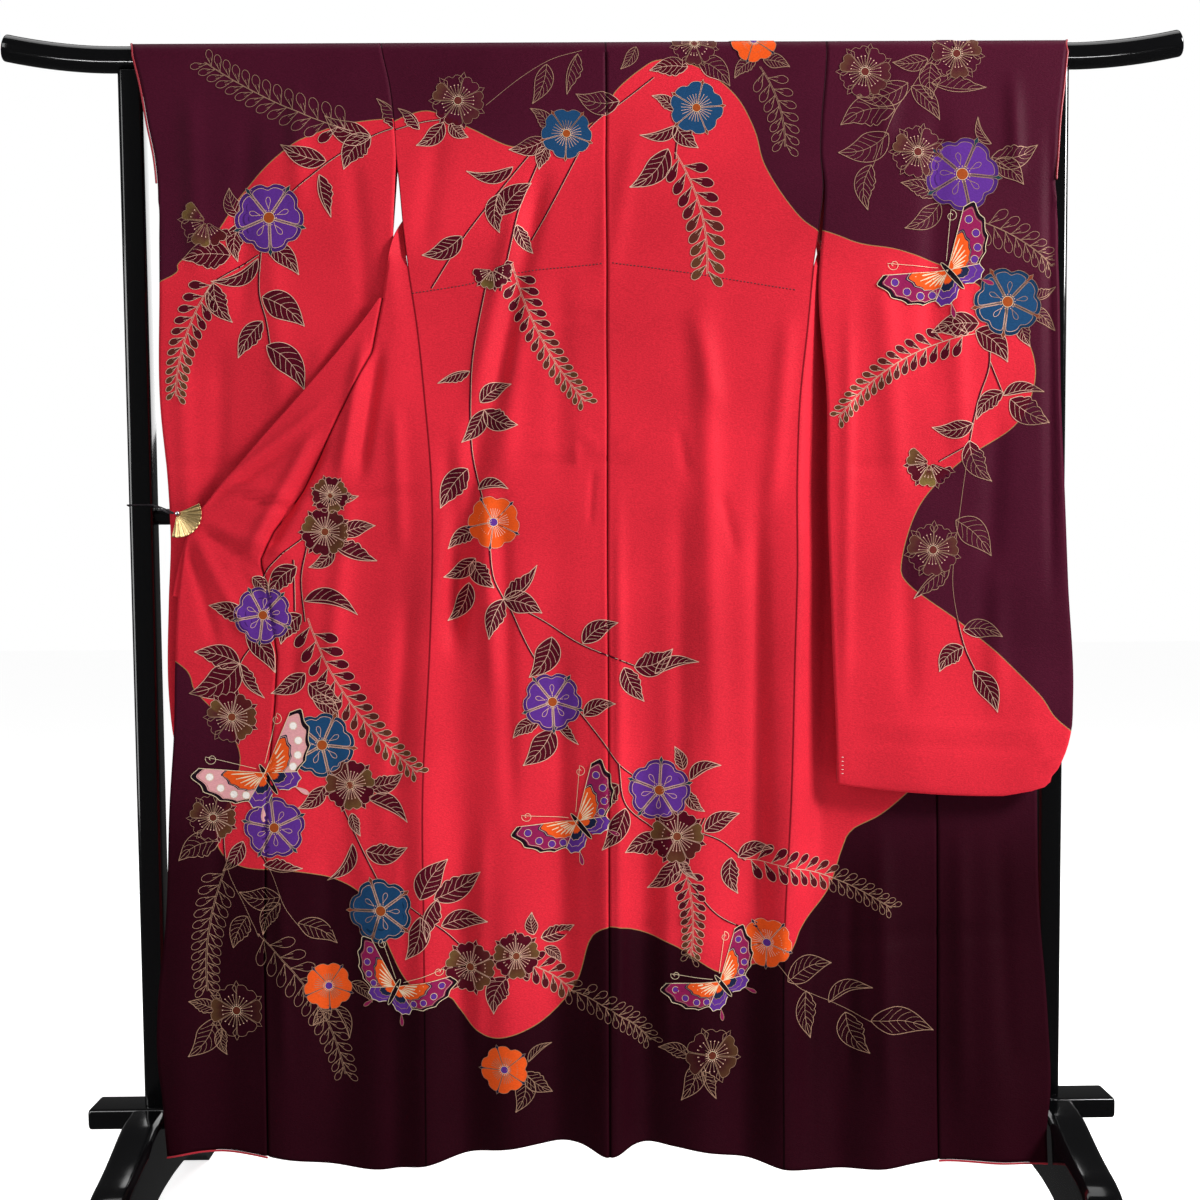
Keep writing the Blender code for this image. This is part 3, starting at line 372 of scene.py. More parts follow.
def smooth(at: Array | float, xs: Array, ys: Array) -> Array:
    """A cubic curve through the points (xs, ys), read at the places in `at`."""
    at = np.clip(np.asarray(at, float), xs[0], xs[-1])
    slopes = np.gradient(ys, xs)
    i = np.clip(np.searchsorted(xs, at, side="right") - 1, 0, len(xs) - 2)
    span = xs[i + 1] - xs[i]
    t = (at - xs[i]) / span
    start = (1 + 2 * t) * (1 - t) ** 2 * ys[i] + t * (1 - t) ** 2 * span * slopes[i]
    end = t**2 * (3 - 2 * t) * ys[i + 1] - t**2 * (1 - t) * span * slopes[i + 1]
    return start + end


def ease(t: Array | float) -> Array:
    """Rises from 0 to 1 with no slope at either end."""
    t = np.clip(t, 0.0, 1.0)
    return t * t * (3 - 2 * t)


def refine(values: Array, parts: int) -> Array:
    """The same run of values with each interval split into equal parts."""
    count = len(values) - 1
    return np.interp(np.linspace(0, count, count * parts + 1), np.arange(count + 1), values)


def folds(rows: dict[str, Array], x: Array, z: Array) -> Array:
    """Forward rise of hanging folds: round ridges exp(-(d / half width)^2) that deepen to the hem."""
    total = np.zeros(np.broadcast(x, z).shape)
    for hem_x, top_x, top_z, half_width, rise in zip(*rows.values()):
        down = np.clip((top_z - z) / (top_z - HEM_LEVEL), 0.0, 1.0)
        middle = top_x + (hem_x - top_x) * down
        total = total + rise * ease(down) * np.exp(-(((x - middle) / half_width) ** 2))
    return total


def creases(rows: dict[str, Array], x: Array, z: Array) -> Array:
    """Forward rise of short creases: round ridges along straight lines that fade out at both ends."""
    total = np.zeros(np.broadcast(x, z).shape)
    for x1, z1, x2, z2, half_width, rise in zip(*rows.values()):
        length = math.hypot(x2 - x1, z2 - z1)
        along = ((x - x1) * (x2 - x1) + (z - z1) * (z2 - z1)) / length**2
        across = ((x - x1) * (z2 - z1) - (z - z1) * (x2 - x1)) / length
        total = total + rise * ease(2 - abs(4 * along - 2)) * np.exp(-((across / half_width) ** 2))
    return total


def hem_wave(x: Array, level: Array) -> Array:
    """How far the hem's own waves lift a level at x: fully at the hem, not at all at the waist."""
    share = np.clip((HEM_FADE_Z - level) / (HEM_FADE_Z - HEM_LEVEL), 0.0, 1.0)
    return (smooth(x, HEM["x"], HEM["z"]) - HEM_LEVEL) * share**2


def height(x: Array, level: Array) -> Array:
    """Real height of a level at x."""
    return level + hem_wave(x, level)


def level_at(x: Array, z: Array) -> Array:
    """The level whose real height at x is z: the inverse of height, found in a few rounds."""
    level = z
    for _ in range(8):
        level = z - hem_wave(x, level)
    return level


def word(side: int) -> str:
    """A side's name: -1 is left and 1 is right."""
    return "left" if side < 0 else "right"


def read(rows: dict[str, Array], name: str, z: Array) -> Array:
    """One column of a table at the heights z, on a smooth curve."""
    return smooth(z, rows["z"], rows[name])


def body_seam(side: int, z: Array) -> Array:
    """Outer edge of one body panel: its side seam, open side and armhole."""
    return read(BODY, word(side), z)


def centre_seam(z: Array) -> Array:
    """Seam down the middle of the back."""
    return read(BODY, "centre", z)


def overlap_seam(side: int, z: Array) -> Array:
    """Seam between one front and its overlap."""
    return np.interp(z, OVERLAP_SEAM["z"], OVERLAP_SEAM[word(side)])


def dip(distance: Array) -> Array:
    """How far cloth sinks beside a sewn seam: a narrow round groove."""
    return SEAM_DIP * np.exp(-((distance / SEAM_DIP_REACH) ** 2))


def seam_distance(side: int, x: Array, z: Array) -> Array:
    """Distance across to the nearest of one side's upright seams: centre, side and overlap."""
    edge = np.where(z > KENSAKI_Z, 9.0, overlap_seam(side, z))
    return np.minimum.reduce([abs(x - centre_seam(z)), abs(x - body_seam(side, z)), abs(x - edge)])


def back_depth(side: int, x: Array, z: Array) -> Array:
    """Depth of the back at x: its hang less folds and creases, lying flat beside the centre seam."""
    start, end = body_seam(side, z), centre_seam(z)
    share = np.clip((x - start) / (end - start), 0.0, 1.0)
    level = start + (end - start) * np.interp(share, [0.0, 0.88, 0.98, 1.0], [0.0, 0.88, 1.0, 1.0])
    relief = folds(BACK_FOLDS, level, z) + creases(BACK_CREASES, level, z) * ease((RAIL_Z - z) / 0.1)
    return read(DEPTH, "back", z) - relief + dip(x - end)


def panel_depth(side: int, x: Array, z: Array) -> Array:
    """Depth of a spread front, away from its side seam."""
    rows, marks = (LEFT_FOLDS, LEFT_CREASES) if side < 0 else (RIGHT_FOLDS, RIGHT_CREASES)
    return read(DEPTH, word(side) + "_front", z) - folds(rows, x, z) - creases(marks, x, z)


def front_depth(side: int, x: Array, z: Array) -> Array:
    """Depth of a spread front at x: from its side seam's own depth it eases to the panel's."""
    start = body_seam(side, z)
    turn = TURN_NARROW + (TURN_WIDE - TURN_NARROW) * ease((UNDERARM_Z - z) / TURN_FADE)
    seam = back_depth(side, start, z)
    eased = seam + (panel_depth(side, x, z) - seam) * ease(abs(x - start) / turn)
    return eased + dip(x - overlap_seam(side, z))


def sleeve_edges(side: int, z: Array) -> list[Array]:
    """Inner and outer edge of the viewer's layer and of the rear layer, as x out from the centre."""
    rows = LEFT_SLEEVE if side < 0 else RIGHT_SLEEVE
    return [read(rows, name, z) for name in ("inner", "outer", "rear_inner", "rear_outer")]


def sleeve_hang(side: int, z: Array) -> tuple[Array, Array]:
    """Depth of the viewer's layer and of the rear layer of a sleeve, before folds."""
    return read(DEPTH, word(side) + "_sleeve", z), read(DEPTH, word(side) + "_rear", z)


def sleeve_relief(side: int, x: Array, z: Array) -> Array:
    """Forward rise of a sleeve's folds and creases, at x out from the centre."""
    marks = LEFT_SLEEVE_CREASES if side < 0 else RIGHT_SLEEVE_CREASES
    return folds(SLEEVE_FOLDS, x, z) + creases(marks, side * x, z) * ease((RAIL_Z - z) / 0.1)


def bottom_lift(x: Array, z: Array, inner: Array, outer: Array) -> Array:
    """How far a sleeve's bottom is raised at x, more towards its inner edge."""
    lift = BOTTOM_TILT * ease((HEM_FADE_Z - z) / (HEM_FADE_Z - SLEEVE_BOTTOM))
    return lift * (1 - (x - inner) / (outer - inner)) ** 2


def curve_through(points: Line, steps: int, closed: bool = False) -> Array:
    """A Catmull-Rom curve through the points, each span cut into steps, back to the first if closed."""
    p = np.array(points, float)
    ends = (p[-1:], p[:2]) if closed else (2 * p[:1] - p[1:2], 2 * p[-1:] - p[-2:-1])
    p = np.concatenate([ends[0], p, ends[1]])
    t = (np.arange(steps) / steps)[None, :, None]
    a, b, c, d = (p[i : len(p) - 3 + i][:, None] for i in range(4))
    spans = b + t * (c - a) / 2 + t**2 * (a - 2.5 * b + 2 * c - d / 2) + t**3 * (1.5 * (b - c) + (d - a) / 2)
    line = spans.reshape(-1, p.shape[1])
    return line if closed else np.concatenate([line, p[-2:-1]])


def lengths(line: Array) -> Array:
    """Distance run along a line at each of its points."""
    return np.concatenate([[0], np.cumsum(np.linalg.norm(np.diff(line, axis=0), axis=1))])


def along_line(at: Array, run: Array, line: Array) -> Array:
    """Points of a flat line at the places `at`, where `run` is the place of each known point."""
    return np.stack([np.interp(at, run, line[:, i]) for i in (0, 1)], -1)


@dataclass(frozen=True)
class Ground:
    """The two dyed grounds of one layer: red inside a closed curve, in millimetres, plum outside."""

    outline: Line

    def distance(self, x: Array, z: Array) -> Array:
        """Distance to the curve, in metres, plus on the red side.

        It is the least of those to the curve's short chords, and its sign comes from how many
        chords a ray towards +x crosses.
        """
        line = curve_through(np.array(self.outline) / 1000, 6, closed=True)
        px, pz = x.ravel(), z.ravel()
        least = np.full(len(px), 1.0)
        crossings = np.zeros(len(px), int)
        for (ax, az), (bx, bz) in zip(line, np.roll(line, -1, axis=0)):
            dx, dz = bx - ax, bz - az
            t = np.clip(((px - ax) * dx + (pz - az) * dz) / (dx * dx + dz * dz), 0, 1)
            least = np.minimum(least, np.hypot(px - ax - t * dx, pz - az - t * dz))
            if az != bz:
                crossings += ((az > pz) != (bz > pz)) & (px < ax + (pz - az) * dx / dz)
        return np.where(crossings % 2 == 1, least, -least).reshape(x.shape)


def linear(colour: str) -> tuple[float, float, float]:
    """Linear red, green and blue of an sRGB hex colour."""
    parts = [int(colour[i : i + 2], 16) / 255 for i in (1, 3, 5)]
    return tuple(c / 12.92 if c <= 0.04045 else ((c + 0.055) / 1.055) ** 2.4 for c in parts)


def add_node(tree, kind: str, inputs: dict | None = None, **settings):
    """Adds a node of a kind to a tree, with its own settings, and values or sockets for its inputs."""
    node = tree.nodes.new("ShaderNode" + kind)
    for name, value in settings.items():
        setattr(node, name, value)
    feed(tree, node, inputs or {})
    return node


def feed(tree, node, inputs: dict) -> None:
    """Sets or links inputs of a node."""
    for name, value in inputs.items():
        if isinstance(value, bpy.types.NodeSocket):
            tree.links.new(value, node.inputs[name])
        elif node.inputs[name].type == "RGBA":
            node.inputs[name].default_value = (*value, 1.0)
        else:
            node.inputs[name].default_value = value


class Finish:
    """A material in the making, with the steps that most finishes share."""

    def __init__(self, name: str) -> None:
        self.made = bpy.data.materials.new(name)
        self.made.use_nodes = True
        self.tree = self.made.node_tree
        self.place = self.add("TexCoord", out="Object")

    def add(self, kind: str, inputs: dict | None = None, out: int | str = 0, **settings):
        """Adds a node, and gives one of its outputs."""
        return add_node(self.tree, kind, inputs, **settings).outputs[out]

    def mark(self, name: str, out: str = "Fac"):
        """A value or colour kept on the mesh."""
        return self.add("Attribute", out=out, attribute_name=name)

    def noise(self, scale: float, detail: float, stretch: tuple | None = None, **more):
        """Noise at the point's own place, drawn out along some axes if a stretch is given."""
        where = self.add("Mapping", {"Scale": stretch, "Vector": self.place}) if stretch else self.place
        return self.add("TexNoise", {"Scale": scale, "Detail": detail, "Vector": where, **more})

    def span(self, value, start: float, end: float, low=0.0, high=1.0, kind: str = "LINEAR"):
        """A value carried from the range start to end into the range low to high."""
        inputs = {"Value": value, "From Min": start, "From Max": end, "To Min": low, "To Max": high}
        return self.add("MapRange", inputs, interpolation_type=kind)

    def mixed(self, share, first, second, blend: str = "MIX"):
        """One colour over another, by a share."""
        return self.add("MixRGB", {0: share, 1: first, 2: second}, blend_type=blend)

    def sum(self, first, second, operation: str = "ADD"):
        """Two values added, or put together by another operation."""
        return self.add("Math", {0: first, 1: second}, operation=operation)

    def shaded(self, colour, factor, *stops: tuple[float, float]):
        """A colour times a grey that follows a factor, by stops of place and level."""
        node = add_node(self.tree, "ValToRGB", {0: factor})
        for mark, (place, level) in zip(node.color_ramp.elements, stops):
            mark.position = place
            mark.color = (level, level, level, 1.0)
        return self.mixed(1.0, colour, node.outputs["Color"], "MULTIPLY")

    def height(self):
        """The point's own height."""
        return self.add("SeparateXYZ", {0: self.place}, "Z")

    def bump(self, height, strength: float, depth: float):
        """A normal bent by a height."""
        return self.add("Bump", {"Strength": strength, "Distance": depth, "Height": height})

    def crepe(self):
        """Grain of chirimen crepe: short weft waves, about 1.2 by 3 mm, drawn a little coarse."""
        return self.noise(1.0, 3.0, (300.0, 300.0, 620.0), Roughness=0.6)

    def close(self, **inputs):
        """Feeds the shader, each input named with _ for a space, and gives the material."""
        shader = self.tree.nodes["Principled BSDF"]
        feed(self.tree, shader, {name.replace("_", " "): value for name, value in inputs.items()})
        return self.made


@dataclass(frozen=True)
class CrepeFinish:
    """Kinsha chirimen: silk crepe, resist dyed in two grounds parted by a line of gold paste."""

    name: str = "silk crepe, dyed red and plum"
    red: str = "#E42D3E"
    paste: str = "#A87C50"
    paste_width: float = 1.6 * MM

    def material(self):
        """Reads the distance to the grounds' line and paints each side and the gold between, with painted
        shade along the seams.
        """
        made = Finish(self.name)
        distance = made.mark("ground")
        side = made.span(distance, -0.3 * MM, 0.3 * MM)
        off = made.add("Math", {0: distance}, operation="ABSOLUTE")
        line = made.span(off, self.paste_width / 2, 0.3 * self.paste_width)
        high = made.span(made.height(), PLUM_LOW_Z, PLUM_HIGH_Z, kind="SMOOTHSTEP")
        plum = made.mixed(high, linear(PLUM_LOW), linear(PLUM_HIGH))
        lined = made.mixed(line, made.mixed(side, plum, linear(self.red)), linear(self.paste))
        # Crepe yarns take the dye unevenly, and the cloth is a shade deeper in broad patches
        grain = made.crepe()
        fleck = made.sum(made.sum(grain, made.noise(5.0, 2.0)), 0.5, "MULTIPLY")
        tone = made.shaded(lined, fleck, (0.34, 0.66), (0.66, 1.0))
        # Painted shade: a thin dark line along each sewn seam, for the shadow that gathers in its groove
        groove = made.span(made.mark("seam"), 0.0, SEAM_SHADE, 0.22, kind="SMOOTHSTEP")
        tone = made.mixed(1.0, tone, groove, "MULTIPLY")
        bump = made.bump(grain, 0.6, 1.0 * MM)
        return made.close(Base_Color=tone, Normal=bump, Roughness=0.45, IOR=1.5, Specular_IOR_Level=0.03)


@dataclass(frozen=True)
class LiningFinish:
    """Plain silk lining: cream in the upper body, red at the hem, cuffs and sleeves."""

    name: str = "silk lining"
    lower: str = "#C01C30"
    upper: str = "#B79A86"
    change_z: float = 0.90

    def material(self):
        """Smooth habutae: a little glossier than the crepe, with a faint ribbed weave."""
        made = Finish(self.name)
        high = made.span(made.height(), self.change_z - MM, self.change_z + MM)
        weave = made.noise(1.0, 2.0, (1200.0, 1200.0, 300.0))
        both = made.mixed(high, linear(self.lower), linear(self.upper))
        tone = made.shaded(both, weave, (0.3, 0.9), (0.7, 1.0))
        return made.close(Base_Color=tone, Normal=made.bump(weave, 0.2, 0.2 * MM), Roughness=0.42,
                          Sheen_Weight=0.1)


@dataclass(frozen=True)
class DyeFinish:
    """Hand-painted dye in the crepe, or gold paste lines piped on it, by each point's own colour."""

    name: str
    roughness: float
    metallic: float
    bump: float

    def material(self):
        """Reads the colour painted on the mesh, over the crepe's grain."""
        made = Finish(self.name)
        grain = made.crepe()
        tone = made.shaded(made.mark("paint", "Color"), grain, (0.25, 0.84), (0.75, 1.06))
        return made.close(Base_Color=tone, Normal=made.bump(grain, self.bump, 1.0 * MM),
                          Roughness=self.roughness, Metallic=self.metallic, Specular_IOR_Level=0.03)


@dataclass(frozen=True)
class LacquerFinish:
    """Black urushi-style lacquer on wood: many polished coats, with a faint long ripple and dust."""

    name: str = "black lacquer, polished"
    colour: str = "#060607"
    roughness: float = 0.07

    def material(self):
        """A dark glossy coat whose ripple bends long reflections a little."""
        made = Finish(self.name)
        rough = made.span(made.noise(60.0, 4.0), 0.0, 1.0, self.roughness, self.roughness + 0.07)
        bump = made.bump(made.noise(9.0, 1.0), 0.25, 1.0 * MM)
        return made.close(Base_Color=linear(self.colour), Roughness=rough, Normal=bump, IOR=1.52)


@dataclass(frozen=True)
class MetalFinish:
    """Stamped and plated small metal, with fine scratches and duller hollows."""

    name: str
    colour: str
    roughness: float

    def material(self):
        """Metal whose roughness wanders with handling."""
        made = Finish(self.name)
        wear = made.noise(700.0, 4.0)
        rough = made.span(wear, 0.0, 1.0, self.roughness - 0.08, self.roughness + 0.12)
        return made.close(Base_Color=linear(self.colour), Roughness=rough, Metallic=1.0,
                          Normal=made.bump(wear, 0.2, 0.1 * MM))


@dataclass(frozen=True)
class ThreadFinish:
    """Twisted silk or cotton thread: matt, with a fine slant from its twist."""

    name: str
    colour: str

    def material(self):
        """Matt fibre with fine noise along it."""
        made = Finish(self.name)
        tone = made.shaded(linear(self.colour), made.noise(1500.0, 2.0), (0.3, 0.7), (0.7, 1.0))
        return made.close(Base_Color=tone, Roughness=0.7, Sheen_Weight=0.2)


@dataclass(frozen=True)
class PaperFinish:
    """Matt pale studio paper for the floor."""

    name: str = "studio paper"
    colour: str = "#F4F4F4"
    glow: float = 0.80

    def material(self):
        """Flat matt paper with a very faint mottle, which the camera sees lit from within as well."""
        made = Finish(self.name)
        tone = made.shaded(linear(self.colour), made.noise(3.0, 2.0), (0.3, 0.99), (0.7, 1.0))
        glow = made.sum(made.add("LightPath", out="Is Camera Ray"), self.glow, "MULTIPLY")
        white = (1.0, 1.0, 1.0)
        return made.close(Base_Color=tone, Emission_Strength=glow, Emission_Color=white, Roughness=0.9)


def grid_faces(rows: int, columns: int, flip: bool = False, wrap: bool = False) -> Array:
    """Four-sided faces between the points of a grid, as point numbers."""
    index = np.arange(rows * columns).reshape(rows, columns)
    if wrap:
        index = np.concatenate([index, index[:, :1]], axis=1)
    faces = np.stack([index[:-1, :-1], index[:-1, 1:], index[1:, 1:], index[1:, :-1]], axis=-1)
    return (faces[..., ::-1] if flip else faces).reshape(-1, 4)


def make_mesh(name: str, points: Array, faces: Array, finishes: Sequence, slots: Array | None = None):
    """A smooth mesh object at the origin.

    Args:
        name: the piece's name.
        points: its points, in metres.
        faces: its faces, as point numbers.
        finishes: its materials, in slot order.
        slots: the material slot of each face, all 0 if left out.
    """
    mesh = bpy.data.meshes.new(name)
    mesh.from_pydata(points.reshape(-1, 3).tolist(), [], faces.tolist())
    for finish in finishes:
        mesh.materials.append(finish)
    if slots is not None:
        mesh.polygons.foreach_set("material_index", slots.astype(np.int32))
    mesh.shade_smooth()
    obj = bpy.data.objects.new(name, mesh)
    bpy.context.scene.collection.objects.link(obj)
    return obj


def settle(obj, slot: str, *replaced: str) -> None:
    """Puts a finished piece on the body and hides the solids that it stands for."""
    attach(obj, "root")
    if replaced:
        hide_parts(*replaced)
    LOG.info("%s: %d faces", obj.name, len(obj.data.polygons))


def weld(obj, within: float = 0.03 * MM, sharp: float | None = None) -> None:
    """Joins points that coincide, and drops the faces that collapse and any loose points.

    A closed solid names the angle past which its edges are sharp; its open ends are filled and
    its faces turned outwards.
    """
    shape = bmesh.new()
    shape.from_mesh(obj.data)
    bmesh.ops.remove_doubles(shape, verts=shape.verts, dist=within)
    bmesh.ops.delete(shape, geom=[v for v in shape.verts if not v.link_faces], context="VERTS")
    if sharp:
        bmesh.ops.holes_fill(shape, edges=[e for e in shape.edges if e.is_boundary])
        bmesh.ops.recalc_face_normals(shape, faces=shape.faces)
    shape.to_mesh(obj.data)
    shape.free()
    if sharp:
        obj.data.set_sharp_from_angle(angle=math.radians(sharp))


def sweep(path: Array, reference: Sequence[float], profile: Array, capped: bool = True) -> Array:
    """A profile carried along a path, kept square to it, as a grid with a row for each ring.

    Args:
        path: the path's points.
        reference: a direction that the path never runs along; crossed with the path's own
            direction it gives the side that a profile's first numbers are measured to.
        profile: two numbers for each point of the section, or the same for each ring.
        capped: whether the ends are closed to a point.
    """
    along = np.gradient(path, axis=0)
    along /= np.linalg.norm(along, axis=1)[:, None]
    side = np.cross(along, np.array(reference, float))
    side /= np.linalg.norm(side, axis=1)[:, None]
    up = np.cross(side, along)
    profile = np.broadcast_to(profile, (len(path), *profile.shape[-2:]))
    rings = path[:, None] + profile[..., :1] * side[:, None] + profile[..., 1:] * up[:, None]
    if capped:
        ends = [np.repeat(rings[i].mean(axis=0)[None, None], rings.shape[1], axis=1) for i in (0, -1)]
        rings = np.concatenate([ends[0], rings, ends[1]])
    return rings


def polar(radius: Array | float, angle: Array) -> Array:
    """Flat points at a radius and an angle."""
    return np.stack([radius * np.cos(angle), radius * np.sin(angle)], -1)


def circle(radius: float, sides: int) -> Array:
    """Points of a circle about the origin."""
    return polar(radius, np.linspace(0, 2 * math.pi, sides, endpoint=False))


def box_sections(width: float, depth: float, rounding: float, insets: Array) -> Array:
    """Sections of a bar with four round edges, drawn in by each inset."""
    sections = []
    for inset in insets:
        corners = []
        for quarter, (sx, sy) in enumerate(((1, 1), (-1, 1), (-1, -1), (1, -1))):
            turn = np.linspace(0, math.pi / 2, 8) + quarter * math.pi / 2
            corners.append([sx * (width / 2 - inset - rounding), sy * (depth / 2 - inset - rounding)]
                           + rounding * polar(1.0, turn))
        sections.append(np.concatenate(corners))
    return np.stack(sections)


def tube(name: str, rings: Array, finish, within: float = 0.001 * MM, sharp: float | None = None):
    """A tube or closed solid from its rings of points."""
    obj = make_mesh(name, rings, grid_faces(*rings.shape[:2], wrap=True), [finish])
    weld(obj, within, sharp)
    return obj


def bar(name: str, path: Array, reference: Sequence[float], profile: Array, finish):
    """A closed bar from a swept profile, with its normals facing out and crisp ends."""
    return tube(name, sweep(path, reference, profile), finish, sharp=50)


def eased_ends(start: float, end: float, rounding: float, steps: int = 5) -> tuple[Array, Array]:
    """Places along a bar and how far its section is drawn in there, for softly rounded ends."""
    turn = np.linspace(0, math.pi / 2, steps)
    inset = rounding * (1 - np.sin(turn))
    out = rounding * (1 - np.cos(turn))
    places = np.concatenate([start + out, end - out[::-1]])
    return places, np.concatenate([inset, inset[::-1]])


@dataclass
class Stand:
    """The lacquered stand: top rail with raised ends, posts, two lower rails and arched feet."""

    lacquer: object
    rail_gloss: object
    upright_gloss: object
    rail_sides: int = 64
    rail_steps: int = 160

    def bar(self, name: str, path: tuple, profile: Array, reference: Sequence[float] = (0, 1, 0)) -> None:
        """A lacquered bar in place of the solid of its own name."""
        path = np.stack(np.broadcast_arrays(*path), axis=-1)
        settle(bar(name + "_lacquered", path, reference, profile, self.lacquer), "lacquer", name)

    def rail(self) -> None:
        """Round rail; past the bend its height rises with the square of the distance."""
        x, inset = eased_ends(-RAIL_HALF - 0.0005, RAIL_HALF + 0.0005, 3 * MM)
        x = np.concatenate([x[:5], np.linspace(x[4], x[5], self.rail_steps)[1:-1], x[5:]])
        inset = np.concatenate([inset[:5], np.zeros(self.rail_steps - 2), inset[5:]])
        past = np.clip((abs(x) - (RAIL_HALF - RAIL_BEND)) / RAIL_BEND, 0, None)
        profile = circle(1.0, self.rail_sides)[None] * (RAIL_RADIUS - inset)[:, None, None]
        self.bar("top_rail", (x, 0.0, RAIL_Z + RAIL_RISE * past**2), profile)

    def cross_rails(self) -> None:
        """Thin round rail between the posts, and the flat one that joins the feet."""
        reach = POST_X - POST_WIDTH / 2 - SEAM
        path = (np.linspace(-reach, reach, 24), 0.0, MIDDLE_RAIL_Z)
        self.bar("middle_rail", path, circle(MIDDLE_RAIL_RADIUS, 32))
        x, inset = eased_ends(-LOWER_RAIL_HALF, LOWER_RAIL_HALF, LOWER_RAIL_ROUND)
        profile = box_sections(LOWER_RAIL_DEPTH, LOWER_RAIL_HEIGHT, LOWER_RAIL_ROUND, inset)
        self.bar("lower_rail", (x, 0.0, LOWER_RAIL_TOP - LOWER_RAIL_HEIGHT / 2), profile, (0, 0, 1))

    def post(self, side: int) -> None:
        """Upright with round edges."""
        z, inset = eased_ends(LOWER_RAIL_TOP + SEAM, RAIL_Z - RAIL_RADIUS - SEAM, 1 * MM)
        profile = box_sections(POST_WIDTH, POST_DEPTH, POST_ROUND, inset)
        self.bar(word(side) + "_post", (side * POST_X, 0.0, z), profile)

    def foot(self, side: int) -> None:
        """Arched board: sections ruled from the arch below to the top outline, top edges rounded."""
        notch = LOWER_RAIL_TOP - LOWER_RAIL_HEIGHT - SEAM
        half = LOWER_RAIL_DEPTH / 2 + SEAM
        toe = [[0.3, 0.0]]
        top = curve_through(np.stack(list(FOOT_TOP.values()), -1)[:-1], 6)
        top = np.concatenate([[[0.0, notch], [half - 0.0001, notch], [half, FOOT_TOP["z"][0]]], top[1:], toe])
        under = np.concatenate([curve_through(np.stack(list(FOOT_ARCH.values()), -1), 6), toe])
        run = lengths(under)
        below = along_line(np.clip(top[:, 0] / 0.3, 0, 1) * run[-1], run, under)
        top, below = (np.concatenate([line[:0:-1] * [-1, 1], line]) for line in (top, below))
        size = np.linalg.norm(top - below, axis=1)[:, None]
        rounding = np.minimum(FOOT_ROUND, size * 0.9)
        inward = (top - below) / np.maximum(size, 1e-6)
        wide = FOOT_WIDTH / 2
        ring = [(wide, below)]
        for turn in np.linspace(0, math.pi / 2, 8):
            x = wide - rounding[:, 0] * (1 - math.cos(turn))
            ring.append((x, top - inward * rounding * (1 - math.sin(turn))))
        ring += [(-x, line) for x, line in ring[::-1]]
        rings = [np.column_stack([side * FOOT_X + 0 * line[:, 0] + x, line]) for x, line in ring]
        name = word(side) + "_foot"
        made = tube(name + "_lacquered", np.stack(rings, axis=1), self.lacquer, 0.02 * MM, 40)
        settle(made, "lacquer", name)

    def build(self) -> None:
        """Makes every piece of the stand."""
        self.rail()
        self.cross_rails()
        for side in (-1, 1):
            self.post(side)
            self.foot(side)
        for obj in bpy.context.scene.objects:
            if obj.name.endswith("_lacquered"):
                gloss = self.rail_gloss if obj.name.startswith("top") else self.upright_gloss
                gloss.objects.link(obj)


@dataclass
class Cloth:
    """One cut piece of the garment: crepe outside, lining inside."""

    name: str
    side: int
    crepe: object
    lining: object
    ground: Ground
    cut: tuple[float, float] = (0.3, 1.0)
    cut_area: float | None = None
    seam_shaded: bool = False
    rows_between: int = 6

    def mark(self, obj, name: str, values: Array) -> None:
        """Keeps a value for each point of the mesh."""
        layer = obj.data.attributes.new(name, "FLOAT", "POINT")
        layer.data.foreach_set("value", values.astype(np.float32))

    def finish(self, grid: Array, replaced: Sequence[str], rests_on: Sequence[str], keep=slice(None)) -> None:
        """Gives a grid its mesh, its two grounds and its thickness.

        Args:
            grid: the outer face's points.
            replaced: the solids that it stands for.
            rests_on: what it hangs from; not used.
            keep: which of the grid's faces it has.
        """
        faces = grid_faces(*grid.shape[:2], flip=self.side > 0)[keep]
        obj = make_mesh(self.name, grid, faces, [self.crepe, self.lining])
        x, _, z = grid.reshape(-1, 3).T
        self.mark(obj, "ground", self.ground.distance(x, z))
        # Distance to the seams, read by the crepe for its painted seam shade; pieces without it sit a metre
        # off
        self.mark(obj, "seam", seam_distance(self.side, x, level_at(x, z)) + (0.0 if self.seam_shaded else 1.0))
        weld(obj)
        obj.data.shade_smooth()
        wall = obj.modifiers.new("Cloth and lining", "SOLIDIFY")
        wall.thickness = CLOTH
        wall.offset = -1.0
        wall.material_offset = 1
        wall.material_offset_rim = 0
        settle(obj, "crepe", *replaced)


